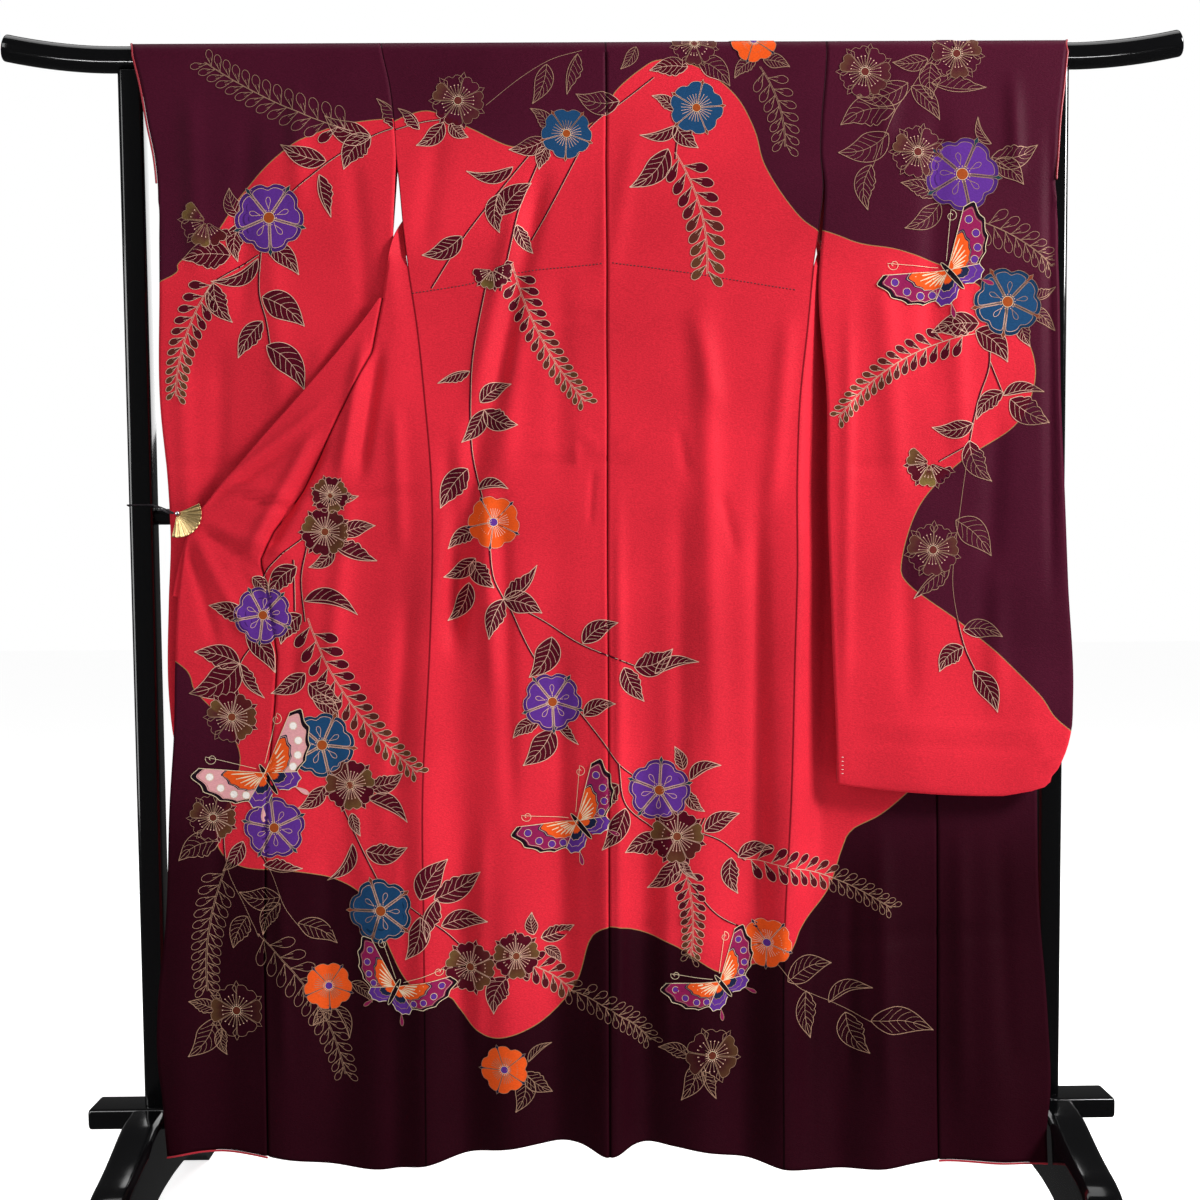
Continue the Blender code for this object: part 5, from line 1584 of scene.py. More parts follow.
BODY_DESIGN = Design(
    blooms=(
        (Bloom.VIOLET, -70, 780, 41, 20), (Bloom.VIOLET, 85, 650, 43, 50),
        (Bloom.VIOLET, -490, 910, 40, 10), (Bloom.VIOLET, -478, 600, 43, 60),
        (Bloom.SMALT, -42, 1603, 35, 15), (Bloom.SMALT, 147, 1640, 37, 40),
        (Bloom.INDIGO, -407, 720, 45, 30), (Bloom.INDIGO, -324, 477, 45, 0),
        (Bloom.ORANGE, -153, 1042, 36, 10), (Bloom.ORANGE, -403, 365, 33, 20),
        (Bloom.ORANGE, -145, 245, 33, 0), (Bloom.ORANGE, 241, 425, 34, 15),
        (Bloom.ORANGE, 232, 1740, 32, 0), (Bloom.MAROON, -199, 1652, 37, 0),
        (Bloom.MAROON, 145, 1735, 32, 10), (Bloom.MAROON, 110, 583, 38, 10),
        (Bloom.MAROON, -398, 1030, 34, 0), (Bloom.MAROON, -390, 1083, 26, 30),
        (Bloom.MAROON, -538, 762, 36, 0), (Bloom.MAROON, -367, 661, 36, 20),
        (Bloom.MAROON, -568, 615, 33, 0), (Bloom.MAROON, -194, 393, 36, 0),
        (Bloom.MAROON, -126, 411, 33, 15), (Bloom.OUTLINE, -538, 331, 38, 0),
        (Bloom.OUTLINE, 159, 262, 38, 20), (Bloom.BUD, -151, 1406, 28, 200),
    ),
    butterflies=(
        (-491, 680, 108, 121, Ink.pink), (-36, 606, 98, 130, Ink.rose), (171, 370, 88, 127, Ink.rose),
        (-301, 367, 88, 64, Ink.rose),
    ),
    tails=(
        (-123, 1417, -18, 1215, -0.06, 26, 15), (115, 1575, 160, 1398, 0.08, 31, 25),
        (240, 1700, 275, 1582, 0.08, 26, 20), (-425, 905, -267, 680, -0.08, 32, 15),
        (-552, 540, -580, 360, -0.06, 26, 18), (-505, 445, -380, 235, 0.08, 33, 18),
        (-125, 405, -42, 352, 0.06, 24, 20), (-46, 356, 70, 281, 0.08, 22, 15),
        (118, 545, 128, 405, 0.06, 23, 14), (209, 547, 428, 470, 0.06, 27, 15),
    ),
    leaves=(
        (-220, 1620, 220, 52), (-210, 1620, 320, 34), (-70, 1705, 250, 62), (-25, 1720, 255, 62),
        (35, 1650, 170, 64), (-65, 1605, 130, 46), (-70, 1595, 195, 58), (-70, 1585, 250, 36),
        (-120, 1555, 185, 68), (-140, 1515, 270, 56), (-140, 1485, 45, 66), (-115, 1470, 300, 46),
        (-195, 1455, 205, 64), (-255, 1610, 135, 44), (60, 1730, 235, 40), (135, 1700, 185, 56),
        (150, 1710, 320, 60), (115, 1635, 145, 40), (120, 1615, 195, 58), (115, 1615, 315, 48),
        (105, 1580, 225, 80), (235, 1710, 220, 42), (245, 1710, 345, 40), (-185, 1260, 200, 50),
        (-170, 1215, 30, 52), (-165, 1205, 335, 54), (-165, 1205, 235, 58), (-190, 1120, 235, 70),
        (-175, 1090, 0, 44), (-175, 1030, 210, 52), (-180, 990, 210, 54), (-185, 985, 310, 50),
        (-190, 955, 240, 64), (-140, 930, 45, 70), (-140, 930, 340, 60), (-140, 930, 250, 62),
        (-25, 865, 30, 60), (50, 830, 25, 62), (80, 820, 15, 66), (35, 830, 300, 58), (-70, 875, 240, 68),
        (-385, 1085, 355, 36), (-375, 1025, 15, 52), (-385, 1010, 340, 66), (-385, 1005, 215, 46),
        (-440, 980, 230, 62), (-505, 965, 310, 36), (-515, 905, 160, 58), (-430, 930, 345, 80),
        (-435, 910, 235, 52), (-515, 885, 305, 72), (-525, 840, 165, 68), (-525, 840, 210, 86),
        (-525, 840, 305, 62), (-430, 825, 210, 58), (-425, 810, 330, 54), (-420, 790, 315, 54),
        (-340, 660, 20, 54), (-340, 640, 330, 66), (-365, 620, 290, 36), (-405, 660, 220, 50),
        (-560, 580, 205, 64), (-525, 580, 235, 54), (-495, 545, 355, 58), (-470, 500, 175, 62),
        (-470, 490, 240, 54), (-445, 460, 330, 64), (-520, 470, 245, 52), (-365, 575, 235, 66),
        (-345, 565, 5, 62), (-265, 495, 55, 70), (-245, 495, 30, 78), (-265, 470, 250, 68),
        (-240, 495, 255, 64), (-235, 455, 5, 68), (-570, 330, 155, 40), (-570, 320, 235, 66),
        (-560, 305, 280, 40), (-395, 335, 295, 52), (-400, 330, 220, 34), (-370, 370, 320, 42),
        (-90, 750, 210, 44), (-70, 740, 230, 68), (-65, 750, 315, 46), (-25, 760, 20, 50),
        (25, 660, 240, 52), (35, 625, 240, 70), (120, 680, 110, 36), (130, 665, 25, 50),
        (125, 650, 310, 40), (150, 590, 25, 58), (90, 575, 195, 58), (110, 550, 225, 62),
        (110, 550, 315, 42), (-100, 440, 95, 34), (-90, 435, 20, 52), (-85, 420, 315, 34),
        (-140, 380, 250, 58), (-110, 255, 35, 42), (-115, 240, 320, 52), (-115, 235, 255, 54),
        (125, 260, 165, 46), (140, 255, 245, 64), (145, 240, 295, 46), (200, 550, 15, 52),
        (190, 550, 280, 54), (270, 370, 15, 72), (300, 350, 275, 70), (335, 330, 20, 68),
        (360, 315, 300, 66), (395, 305, 350, 96),
    ),
    vines=(
        ((-160, 1645), (-110, 1685), (-65, 1712), (-20, 1725)), ((-290, 1610), (-255, 1620), (-220, 1625)),
        ((85, 1685), (40, 1650), (5, 1625), (-20, 1600)),
        ((-90, 1580), (-140, 1520), (-195, 1450), (-240, 1380)),
        ((-80, 1570), (-110, 1500), (-125, 1440), (-140, 1375)), ((-25, 1575), (-65, 1500), (-95, 1450)),
        ((-160, 1390), (-180, 1290), (-185, 1220), (-185, 1160), (-180, 1120), (-165, 1060)),
        ((-160, 1020), (-155, 965), (-140, 930)),
        ((-140, 930), (-85, 900), (-30, 865), (30, 840), (80, 820)), ((-130, 915), (-105, 860), (-80, 820)),
        ((-35, 770), (0, 725), (25, 690), (55, 665)), ((25, 690), (35, 630), (80, 590)),
        ((140, 590), (175, 575), (210, 545)), ((125, 520), (165, 470), (215, 440)),
        ((250, 400), (290, 355), (340, 330), (395, 303)),
        ((-425, 1025), (-465, 995), (-490, 965), (-490, 930)), ((-425, 1010), (-435, 960), (-430, 900)),
        ((-445, 990), (-445, 915)), ((-495, 880), (-525, 840), (-535, 790)),
        ((-380, 630), (-350, 565), (-325, 515)), ((-555, 610), (-550, 540), (-525, 485), (-505, 440)),
        ((-520, 600), (-485, 535), (-465, 485), (-445, 455)), ((-290, 490), (-240, 455), (-205, 420)),
        ((120, 1620), (115, 1565)), ((150, 610), (120, 550)),
    ),
)
LEFT_SLEEVE_DESIGN = Design(
    blooms=(
        (Bloom.VIOLET, -473, 1483, 48, 20), (Bloom.BUD, -563, 1478, 36, 150),
    ),
    tails=(
        (-352, 1608, -565, 1710, 0.04, 30, 20), (-553, 1395, -612, 1228, -0.08, 27, 15),
    ),
    leaves=(
        (-325, 1600, 155, 74), (-325, 1600, 230, 62), (-390, 1565, 160, 70), (-400, 1545, 285, 64),
        (-515, 1485, 110, 44), (-515, 1475, 265, 54), (-475, 1445, 315, 62), (-530, 1430, 185, 70),
        (-490, 1425, 205, 76), (-555, 1390, 295, 62), (-485, 1370, 325, 74), (-485, 1335, 235, 64),
        (-480, 1300, 310, 84), (-285, 1610, 125, 56),
    ),
    vines=(
        ((-285, 1615), (-325, 1600), (-385, 1565), (-445, 1515)),
        ((-485, 1445), (-490, 1380), (-480, 1335), (-475, 1300)), ((-490, 1430), (-550, 1395)),
    ),
)
RIGHT_SLEEVE_DESIGN = Design(
    blooms=(
        (Bloom.VIOLET, 532, 1541, 51, 30), (Bloom.INDIGO, 597, 1356, 47, 10),
        (Bloom.MAROON, 393, 1692, 37, 0), (Bloom.MAROON, 527, 1718, 36, 20),
        (Bloom.MAROON, 468, 1574, 37, 0), (Bloom.MAROON, 486, 997, 37, 10), (Bloom.BUD, 482, 1123, 34, 160),
    ),
    butterflies=(
        (510, 1402, 106, 130, Ink.rose),
    ),
    tails=(
        (550, 1475, 664, 1408, 0.06, 30, 18), (550, 1310, 350, 1190, -0.10, 27, 14),
    ),
    leaves=(
        (455, 1675, 195, 78), (435, 1635, 195, 82), (460, 1670, 310, 64), (490, 1675, 355, 80),
        (425, 1600, 200, 78), (400, 1555, 265, 66), (485, 1710, 185, 52), (490, 1705, 270, 54),
        (575, 1585, 115, 44), (575, 1565, 15, 70), (580, 1560, 320, 54), (495, 1510, 160, 56),
        (500, 1500, 215, 64), (630, 1360, 25, 42), (630, 1345, 320, 48), (555, 1325, 190, 70),
        (550, 1315, 315, 66), (590, 1225, 225, 56), (590, 1220, 5, 60), (600, 1215, 330, 68),
        (545, 1180, 185, 60), (540, 1155, 300, 68), (520, 1040, 315, 74), (510, 970, 220, 68),
        (530, 880, 350, 58), (530, 855, 225, 50), (545, 820, 300, 70), (615, 1330, 290, 42),
    ),
    vines=(
        ((490, 1715), (460, 1670), (435, 1635), (415, 1590), (400, 1550)),
        ((565, 1345), (570, 1270), (555, 1220), (545, 1180), (535, 1125), (525, 1055), (515, 980),
         (515, 930), (530, 860), (550, 815)),
        ((570, 1270), (590, 1220)), ((470, 1560), (525, 1510), (545, 1480)), ((540, 1150), (495, 1125)),
    ),
)


@dataclass
class MotifLayer:
    """Everything dyed and piped on one layer of the garment, as one thin mesh that follows it."""

    name: str
    patches: list[Patch]
    surface: Callable[[Array, Array], Array]
    bounds: Callable[[Array], tuple[Array, Array]]
    low: Callable[[Array], Array]
    ground: Ground
    finishes: Sequence
    towards: int = -1

    def build(self) -> None:
        """Lays each patch on the cloth: y is the layer's depth less the patch's lift, and points
        past an edge are drawn back to it, so that faces outside the layer vanish."""
        points, paints, faces, slots, lifts = [], [], [], [], []
        count = 0
        for patch in self.patches:
            shape = patch.points.shape[:3]
            one = grid_faces(*shape[1:])
            offsets = (np.arange(shape[0]) * shape[1] * shape[2] + count)[:, None, None]
            faces.append((one[None] + offsets).reshape(-1, 4))
            slots.append(np.full(shape[0] * len(one), int(patch.piped)))
            points.append(patch.points.reshape(-1, 2))
            paints.append(np.broadcast_to(patch.paint, (*shape, 4)).reshape(-1, 4))
            lifts.append(np.full((math.prod(shape), 2), (patch.lift, patch.piped)))
            count += math.prod(shape)
        flat, paint, face, slot, lifted = (np.concatenate(v) for v in (points, paints, faces, slots, lifts))
        lift, piped = lifted[:, 0], lifted[:, 1:] > 0.5
        z = np.clip(flat[:, 1], self.low(flat[:, 0]) + 2 * MM, MOTIF_TOP)
        left, right = self.bounds(z)
        x = np.clip(flat[:, 0], left + MM, right - MM)
        corner = np.stack([x, z], -1)[face]
        a, b = corner[:, 2] - corner[:, 0], corner[:, 3] - corner[:, 1]
        area = a[:, 0] * b[:, 1] - a[:, 1] * b[:, 0]
        on_plum = (self.ground.distance(x, z) < 0)[:, None]
        rgb, hold = paint[:, :3], paint[:, 3:]
        bare = (on_plum & ~piped & (hold < 0.01))[:, 0]
        keep = (abs(area) > 1e-9) & ~bare[face].all(axis=1)
        face, slot, area = face[keep], slot[keep], area[keep]
        turned = (area * self.towards) > 0
        face[turned] = face[turned][:, ::-1]
        high = ease((z - PLUM_LOW_Z) / (PLUM_HIGH_Z - PLUM_LOW_Z))[:, None]
        plum = np.array(linear(PLUM_LOW)) * (1 - high) + np.array(linear(PLUM_HIGH)) * high
        fill = np.where(on_plum, rgb * hold + plum * (1 - hold), rgb)
        line = np.where(on_plum & (abs(rgb - Ink.paste).sum(1) < 1e-6)[:, None], Ink.dull_paste, rgb)
        over = np.arcsin(np.clip((z - RAIL_Z) / DRAPE, 0, 1))
        hung = self.surface(x, np.minimum(z, RAIL_Z)) + self.towards * lift
        y = np.where(over > 0, self.towards * (DRAPE + lift) * np.cos(over), hung)
        used, index = np.unique(face, return_inverse=True)
        placed_at = np.stack([x, y, z + lift * np.sin(over)], -1)[used]
        obj = make_mesh(self.name, placed_at, index.reshape(-1, 4), self.finishes, slot)
        layer = obj.data.color_attributes.new("paint", "FLOAT_COLOR", "POINT")
        rgba = np.column_stack([np.where(piped, line, fill), np.ones(len(z))])[used]
        layer.data.foreach_set("color", rgba.astype(np.float32).ravel())
        settle(obj, "crepe")


def body_surface(x: Array, z: Array) -> Array:
    """Depth of the whole back as the viewer sees it: the back, and the fronts to either side."""
    level = level_at(x, z)
    depths = []
    for side in (-1, 1):
        spread = side * x > side * body_seam(side, level)
        depths.append(np.where(spread, front_depth(side, x, level), back_depth(side, x, level)))
    return np.where(x < centre_seam(level), *depths)


def body_bounds(side: int) -> Callable[[Array], tuple[Array, Array]]:
    """Edges of one half of the back as the viewer sees it, from the centre seam outwards."""
    rows = LEFT_OVERLAP if side < 0 else RIGHT_OVERLAP

    def edges(z: Array) -> tuple[Array, Array]:
        outer = np.where(z < KENSAKI_Z, read(rows, "edge", z), body_seam(side, z))
        return (centre_seam(z) - side * MM, outer)[::side]

    return edges


def sleeve_surface(side: int, rear: bool) -> Callable[[Array, Array], Array]:
    """Depth of one layer of a sleeve, as a function of x and z."""

    def depth(x: Array, z: Array) -> Array:
        level = z - bottom_lift(side * x, z, *sleeve_edges(side, z)[:2])
        near, far = sleeve_hang(side, level)
        closing = np.clip((SLEEVE_CLOSING_Z - level) / (SLEEVE_CLOSING_Z - SLEEVE_BOTTOM), 0, 1)
        half = (far - near) / 2 * np.sqrt(np.sqrt(1 - closing**2))
        relief = sleeve_relief(side, side * x, level) * np.clip(half / PINCH_DEPTH, 0, 1)
        return (near + far) / 2 + (half if rear else -half) - relief

    return depth


def sleeve_bounds(side: int, rear: bool) -> Callable[[Array], tuple[Array, Array]]:
    """Edges of one layer of a sleeve, short of its round outer edge."""

    def edges(z: Array) -> tuple[Array, Array]:
        near, far = sleeve_hang(side, z)
        inner, outer = sleeve_edges(side, z)[2 * rear : 2 * rear + 2]
        outer = outer - EDGE_BULGE * (far - near) / 2 * ease((WRIST_Z - z) / EDGE_FADE)
        return (side * inner, side * outer)[::side]

    return edges


@dataclass
class Trim:
    """Rolled lining edges and hand stitches."""

    lining: object
    sleeve_lining: object
    thread: object
    white: object

    def roll(self, name: str, path: Array, reference: Sequence[float], finish) -> None:
        """A thin roll of lining in place of the solid of its own name."""
        settle(bar(name + "_silk", path, reference, circle(ROLL_RADIUS, 12), finish), "lining", name)

    def cuff(self, side: int) -> None:
        """Lining rolled round a wrist opening, from the front over the rail to the rear."""
        z = np.linspace(WRIST_Z + 0.024, RAIL_Z, 40)
        near, far = sleeve_hang(side, z)
        _, outer, _, rear_outer = sleeve_edges(side, z)
        turns = np.linspace(0, math.pi, 25)[1:-1]
        over_z = RAIL_Z + DRAPE * np.sin(turns)
        over = sleeve_edges(side, over_z)
        share = turns / math.pi
        x = np.concatenate([outer, over[1] * (1 - share) + over[3] * share, rear_outer[::-1]])
        facing = np.concatenate([0 * z - 1, -np.cos(turns), 0 * z + 1])
        y = np.concatenate([near, -DRAPE * np.cos(turns), far[::-1]]) - facing * 0.9 * MM
        up = np.concatenate([z, over_z, z[::-1]])
        path = np.stack([side * (x + ROLL_RADIUS + 0.5 * MM), y, up], axis=-1)
        self.roll(word(side) + "_cuff_roll", path, (1, 0, 0), self.sleeve_lining)

    def hem(self, side: int) -> None:
        """Lining rolled under the hem of an overlap."""
        edges = LEFT_OVERLAP if side < 0 else RIGHT_OVERLAP
        level = np.array(HEM_LEVEL)
        x = np.linspace(float(overlap_seam(side, level)) + SEAM * side, float(edges["edge"][0]), 30)
        y = panel_depth(side, x, level) + CLOTH / 2
        path = np.stack([x, y, height(x, level) - ROLL_RADIUS - 2 * SEAM], axis=-1)
        self.roll(word(side) + "_hem_roll", path, (0, 1, 0), self.lining)

    def stitches(self, name: str, centres: Array, turn: Array, length: float, width: float, finish) -> None:
        """Short domed stitches: half ellipsoids along their thread, about centres on the cloth, each
        at its own turn in the cloth's plane, in radians."""
        u, v = np.linspace(-1, 1, 7)[:, None], np.linspace(-1, 1, 5)[None, :]
        along = u * length / 2 * np.ones_like(v)
        aside = v * width / 2 * np.sqrt(1 - u**2 * 0.98)
        rise = width * 0.6 * np.sqrt(np.clip(1 - u**2, 0, 1)) * np.cos(v * math.pi / 2)
        c, s = np.cos(turn)[:, None, None], np.sin(turn)[:, None, None]
        x = centres[:, 0, None, None] + along * c - aside * s
        z = centres[:, 2, None, None] + along * s + aside * c
        y = centres[:, 1, None, None] - rise - 0.05 * MM + 0 * x
        faces = grid_faces(7, 5, flip=True)[None] + (np.arange(len(centres)) * 35)[:, None, None]
        settle(make_mesh(name, np.stack([x, y, z], -1), faces.reshape(-1, 4), [finish]), "cord")

    def tuck(self) -> None:
        """Running stitches of the hip tuck, across both halves of the back."""
        halves = (((-268, 1373), (-190, 1385), (-120, 1402), (8, 1414)),
                  ((22, 1415), (80, 1408), (160, 1396), (292, 1374)))
        places, turns = [], []
        for points in halves:
            line = curve_through(np.array(points) / 1000, 40)
            run = lengths(line)
            at = np.arange(2 * MM, run[-1] - 2 * MM, 5.2 * MM)
            places.append(along_line(at, run, line))
            slope = along_line(at, run, np.gradient(line, axis=0))
            turns.append(np.arctan2(slope[:, 1], slope[:, 0]))
        x, z = np.concatenate(places).T
        spots = np.stack([x, body_surface(x, z), z], -1)
        self.stitches("hip_tuck_stitches", spots, np.concatenate(turns), 3.4 * MM, 1.7 * MM, self.thread)

    def corner(self) -> None:
        """White stitches that close the right sleeve's inner bottom corner."""
        z = np.linspace(0.672, 0.696, 5)
        x = 0 * z + 0.3530
        spots = np.stack([x, sleeve_surface(1, False)(x, z), z], -1)
        self.stitches("sleeve_corner_stitches", spots, 0 * z, 3.2 * MM, 1.0 * MM, self.white)

    def build(self) -> None:
        """Makes every roll and row of stitches."""
        for side in (-1, 1):
            self.cuff(side)
            self.hem(side)
        self.tuck()
        self.corner()


@dataclass
class FanClip:
    """Gilt fan that pins the left front aside, its rivet, and the cord that ties it to the post."""

    gilt: object
    silver: object
    cord: object

    def leaf(self) -> None:
        """Pleated leaf: depth is a soft triangle wave of the angle, growing with the radius."""
        turns = np.linspace(FAN_FROM, FAN_TO, FAN_FOLDS * 16 + 1)
        share = np.linspace(FAN_HUB / FAN_RADIUS, 1, 26)[:, None]
        phase = (turns - FAN_FROM) / (FAN_TO - FAN_FROM) * FAN_FOLDS * 2 * math.pi
        wave = np.arcsin(0.97 * np.cos(phase)) / math.asin(0.97)
        leafed = ease((share - 0.36) / 0.10)
        ribs = 0.35 * np.exp(-(((phase + math.pi) % (2 * math.pi) - math.pi) / 0.7) ** 2)
        beads = sum(0.25 * np.exp(-(((share - at) / 0.025) ** 2)) for at in (0.43, 0.93))
        rise = FAN_PLEAT * (share * wave * (0.35 + 0.65 * leafed) + (1 - leafed) * ribs + beads)
        reach = FAN_RADIUS * share * (1 - 0.012 * (1 - abs(np.cos(phase / 2))) * share)
        x, z = reach * np.cos(turns), reach * np.sin(turns)
        grid = np.stack([x, -rise, z], axis=-1) + FAN_PIVOT
        obj = make_mesh("fan_clip_gilt", grid, grid_faces(*grid.shape[:2]), [self.gilt])
        wall = obj.modifiers.new("Plate", "SOLIDIFY")
        wall.thickness = 0.8 * MM
        wall.offset = -1.0
        settle(obj, "gilt", "fan_clip")

    def rivet(self) -> None:
        """Turned bead at the fan's pivot: a ball with a shallow collar."""
        turn = np.linspace(0, math.pi, 17)[:, None]
        radius = BEAD_RADIUS * np.sin(turn) * (1 + 0.08 * np.exp(-(((turn - 1.6) / 0.15) ** 2)))
        x, z = circle(1.0, 28).T
        grid = np.stack([radius * x, 0 * x - BEAD_RADIUS * np.cos(turn), radius * z], axis=-1) + FAN_PIVOT
        settle(tube("fan_rivet_silver", grid, self.silver), "silver", "fan_rivet")

    def tie(self) -> None:
        """Cord from the pivot round the post and back: a twisted section, two plies that wind on."""
        px, py, pz = FAN_PIVOT
        near, far = POST_X - POST_WIDTH / 2, POST_X + POST_WIDTH / 2
        gap = CORD_RADIUS + 2 * SEAM
        front = -POST_DEPTH / 2 - gap
        high, low = CORD_POST_Z + CORD_RADIUS * 1.6, CORD_POST_Z
        start = px - BEAD_RADIUS - gap
        route = (
            (start, py, pz + CORD_RADIUS * 0.4), (start - 0.012, py + 0.008, pz + 0.006),
            (-(near - 0.012), front - 0.014, high - 0.003), (-(near + 0.004), front, high),
            (-(far - 0.004), front, high), (-(far + gap), front + 0.006, high),
            (-(far + gap), -front - 0.006, low), (-(far - 0.004), -front, low),
            (-(near + 0.004), -front, low), (-(near - gap), -front - 0.006, low),
            (-(near - gap), front + 0.006, low), (-(near - 0.012), front - 0.011, low - 0.003),
            (start - 0.012, py + 0.0085, pz + 0.0025),
        )
        line = curve_through(route, 14, closed=True)
        line = np.concatenate([line, line[:1]])
        around = np.linspace(0, 2 * math.pi, 12, endpoint=False)
        radius = CORD_RADIUS * (0.80 + 0.20 * abs(np.cos(around[None] - lengths(line)[:, None] / (0.9 * MM))))
        rings = sweep(line, (0.05, 0.02, 1), radius[..., None] * polar(1.0, around)[None], capped=False)
        settle(tube("fan_cord_silk", rings, self.cord, 0.05 * MM), "cord", "fan_cord")

    def build(self) -> None:
        """Makes the fan, its rivet and its cord."""
        self.leaf()
        self.rivet()
        self.tie()


@dataclass
class Studio:
    """Pale floor, soft lights and the camera, fitted to the photograph's view."""

    paper: object
    place: tuple[float, float, float] = (-0.0296, -2.4984, 0.9306)
    yaw: float = -0.0119
    pitch: float = 0.0667
    roll: float = -0.0081
    focal_share: float = 1664.3 / 1200
    shift_y: float = 0.0912
    floor_half: float = 30.0
    rail: object = field(default_factory=lambda: bpy.data.collections.new("Lacquered rail"))
    uprights: object = field(default_factory=lambda: bpy.data.collections.new("Lacquered uprights"))

    def camera(self) -> None:
        """A camera whose focal length is a share of the picture's width."""
        data = bpy.data.cameras.new("View of the back")
        data.sensor_width = 36.0
        data.lens = 36.0 * self.focal_share
        data.shift_y = self.shift_y
        data.clip_end = 200.0
        eye = bpy.data.objects.new("View of the back", data)
        eye.location = self.place
        # Rolled about its own line of sight, tilted down, then turned about the vertical
        turned = Matrix.Rotation(self.yaw, 4, "Z") @ Matrix.Rotation(math.pi / 2 - self.pitch, 4, "X")
        eye.rotation_euler = (turned @ Matrix.Rotation(self.roll, 4, "Z")).to_euler()
        bpy.context.scene.collection.objects.link(eye)
        bpy.context.scene.camera = eye

    def floor(self) -> None:
        """A wide plain floor."""
        x = np.linspace(-self.floor_half, self.floor_half, 7)
        grid = np.stack(np.meshgrid(x, x) + [np.zeros((7, 7))], axis=-1)
        floor = make_mesh("studio_floor", grid, grid_faces(7, 7), [self.paper])
        floor.visible_glossy = False

    def light(self, name: str, place, target, size: tuple[float, float], power: float, only=None) -> None:
        """A soft rectangular light aimed at a point, for everything or for one collection only."""
        data = bpy.data.lights.new(name, "AREA")
        data.shape = "RECTANGLE"
        data.size, data.size_y = size
        data.energy = power
        lamp = bpy.data.objects.new(name, data)
        lamp.location = place
        lamp.rotation_euler = (Vector(target) - Vector(place)).to_track_quat("-Z", "Y").to_euler()
        lamp.visible_camera = False
        if only:
            lamp.light_linking.receiver_collection = only
        bpy.context.scene.collection.objects.link(lamp)

    def sky(self) -> None:
        """White to the camera, a dim even grey to cloth, and nearly dark in glossy lacquer."""
        world = bpy.data.worlds.new("Studio")
        bpy.context.scene.world = world
        world.use_nodes = True
        tree = world.node_tree
        tree.nodes.clear()
        ray = add_node(tree, "LightPath").outputs
        dim, dark, bright = (
            add_node(tree, "Background", {"Color": (1.0, 1.0, 1.0), "Strength": level}).outputs[0]
            for level in (0.21, 0.06, 1.0)
        )
        unlit = add_node(tree, "MixShader", {0: ray["Is Glossy Ray"], 1: dim, 2: dark}).outputs[0]
        mixed = add_node(tree, "MixShader", {0: ray["Is Camera Ray"], 1: unlit, 2: bright}).outputs[0]
        add_node(tree, "OutputWorld", {0: mixed})

    def build(self) -> None:
        """Sets camera, floor, world and lights."""
        self.camera()
        self.floor()
        self.sky()
        self.light("Key", (3.0, -1.5, 2.7), (0.0, 0.0, 1.1), (1.0, 1.0), 170.0)
        self.light("Fill", (-2.6, -2.4, 2.4), (0.0, 0.0, 1.1), (1.0, 1.6), 22.0)
        self.light("Top", (0.0, 0.6, 4.2), (0.0, 0.0, 0.8), (4.0, 2.0), 50.0)
        self.light("Rear", (0.0, 3.4, 2.6), (0.0, 0.0, 0.9), (3.4, 2.2), 60.0)
        self.light("Left gloss", (-3.0, -1.6, 1.2), (-0.68, 0.0, 1.0), (1.6, 2.4), 70.0, self.uprights)
        self.light("Low gloss", (0.0, -2.7, 0.12), (0.0, 0.0, 1.7), (4.0, 0.10), 60.0, self.rail)


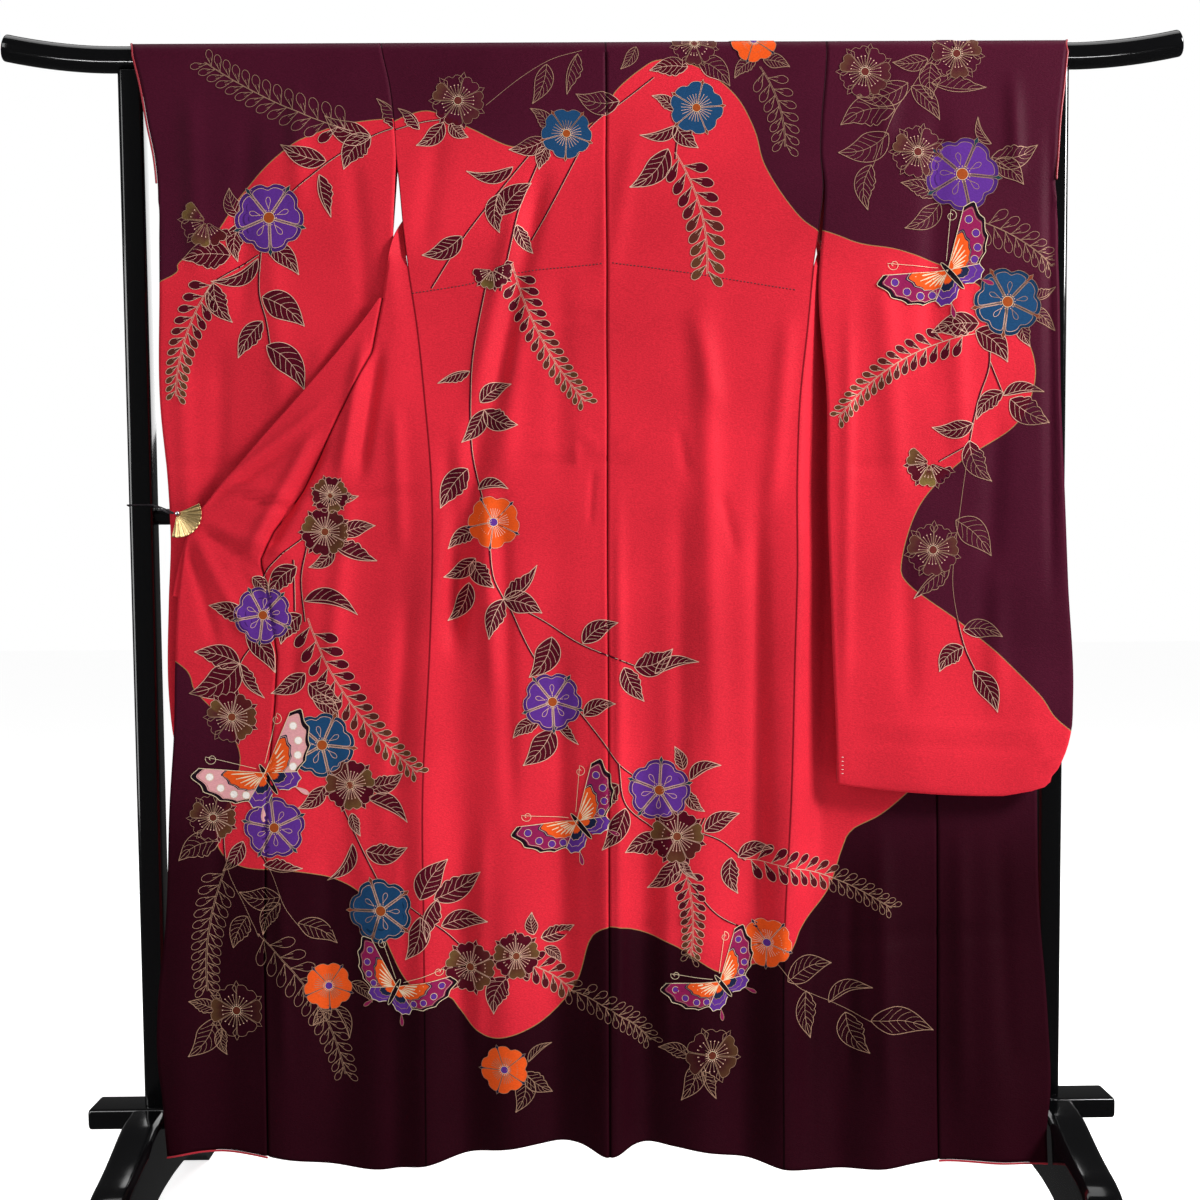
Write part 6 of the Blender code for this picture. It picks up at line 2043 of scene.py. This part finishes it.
def main() -> None:
    """Builds the stand, the garment, its design, its trim and the studio."""
    logging.basicConfig(level=logging.INFO, format="%(message)s")
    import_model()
    studio = Studio(PaperFinish().material())
    studio.build()
    crepe, lining = CrepeFinish().material(), LiningFinish().material()
    sleeve_lining = LiningFinish("silk sleeve lining", upper="#9E1428").material()
    dyes = [DyeFinish("hand-painted dye in crepe", 0.5, 0.0, 0.35).material(),
            DyeFinish("gold paste lines", 0.42, 0.1, 0.2).material()]
    gilt = MetalFinish("gilt brass, stamped", "#D8BC86", 0.42).material()
    silver = MetalFinish("silvered bead", "#C9CBD0", 0.25).material()
    cord = ThreadFinish("dark silk cord", "#1E1020").material()
    thread = ThreadFinish("dark red silk thread", "#560816").material()
    white = ThreadFinish("white cotton thread", "#F0ECE4").material()
    Stand(LacquerFinish().material(), studio.rail, studio.uprights).build()
    body = Ground(BODY_GROUND)
    grounds = {-1: Ground(LEFT_GROUND), 1: Ground(RIGHT_GROUND)}
    designs = {-1: LEFT_SLEEVE_DESIGN, 1: RIGHT_SLEEVE_DESIGN}
    for side in (-1, 1):
        name = word(side)
        BodyPanel(name + "_body_crepe", side, crepe, lining, body, (0.30, 3.30), None, True).build()
        Overlap(name + "_overlap_crepe", side, crepe, lining, body, (0.17, 1.30), 0.19, True).build()
        Sleeve(name + "_sleeve_crepe", side, crepe, sleeve_lining, grounds[side], (0.36, 2.24)).build()
        LaidCollar(name + "_collar_crepe", side, crepe, lining, body, (0.05, 0.52)).build()
        for rear in (False, True):
            MotifLayer(
                name + ("_sleeve_front_design" if rear else "_sleeve_back_design"),
                designs[-side if rear else side].patches(mirrored=rear), sleeve_surface(side, rear),
                sleeve_bounds(side, rear), lambda x: 0 * x + 0.66, grounds[side], dyes, 1 if rear else -1,
            ).build()
        MotifLayer(
            name + "_back_design", BODY_DESIGN.patches(), body_surface, body_bounds(side),
            lambda x: smooth(x, HEM["x"], HEM["z"]), body, dyes,
        ).build()
    NeckCollar("neck_collar_crepe", 1, crepe, lining, body, (0.055, 0.80)).build()
    Trim(lining, sleeve_lining, thread, white).build()
    FanClip(gilt, silver, cord).build()
    for shiny in ("fan_clip_gilt", "fan_rivet_silver"):
        studio.uprights.objects.link(bpy.data.objects[shiny])
    bpy.context.scene.view_settings.view_transform = "Standard"


if __name__ == "__main__":
    main()
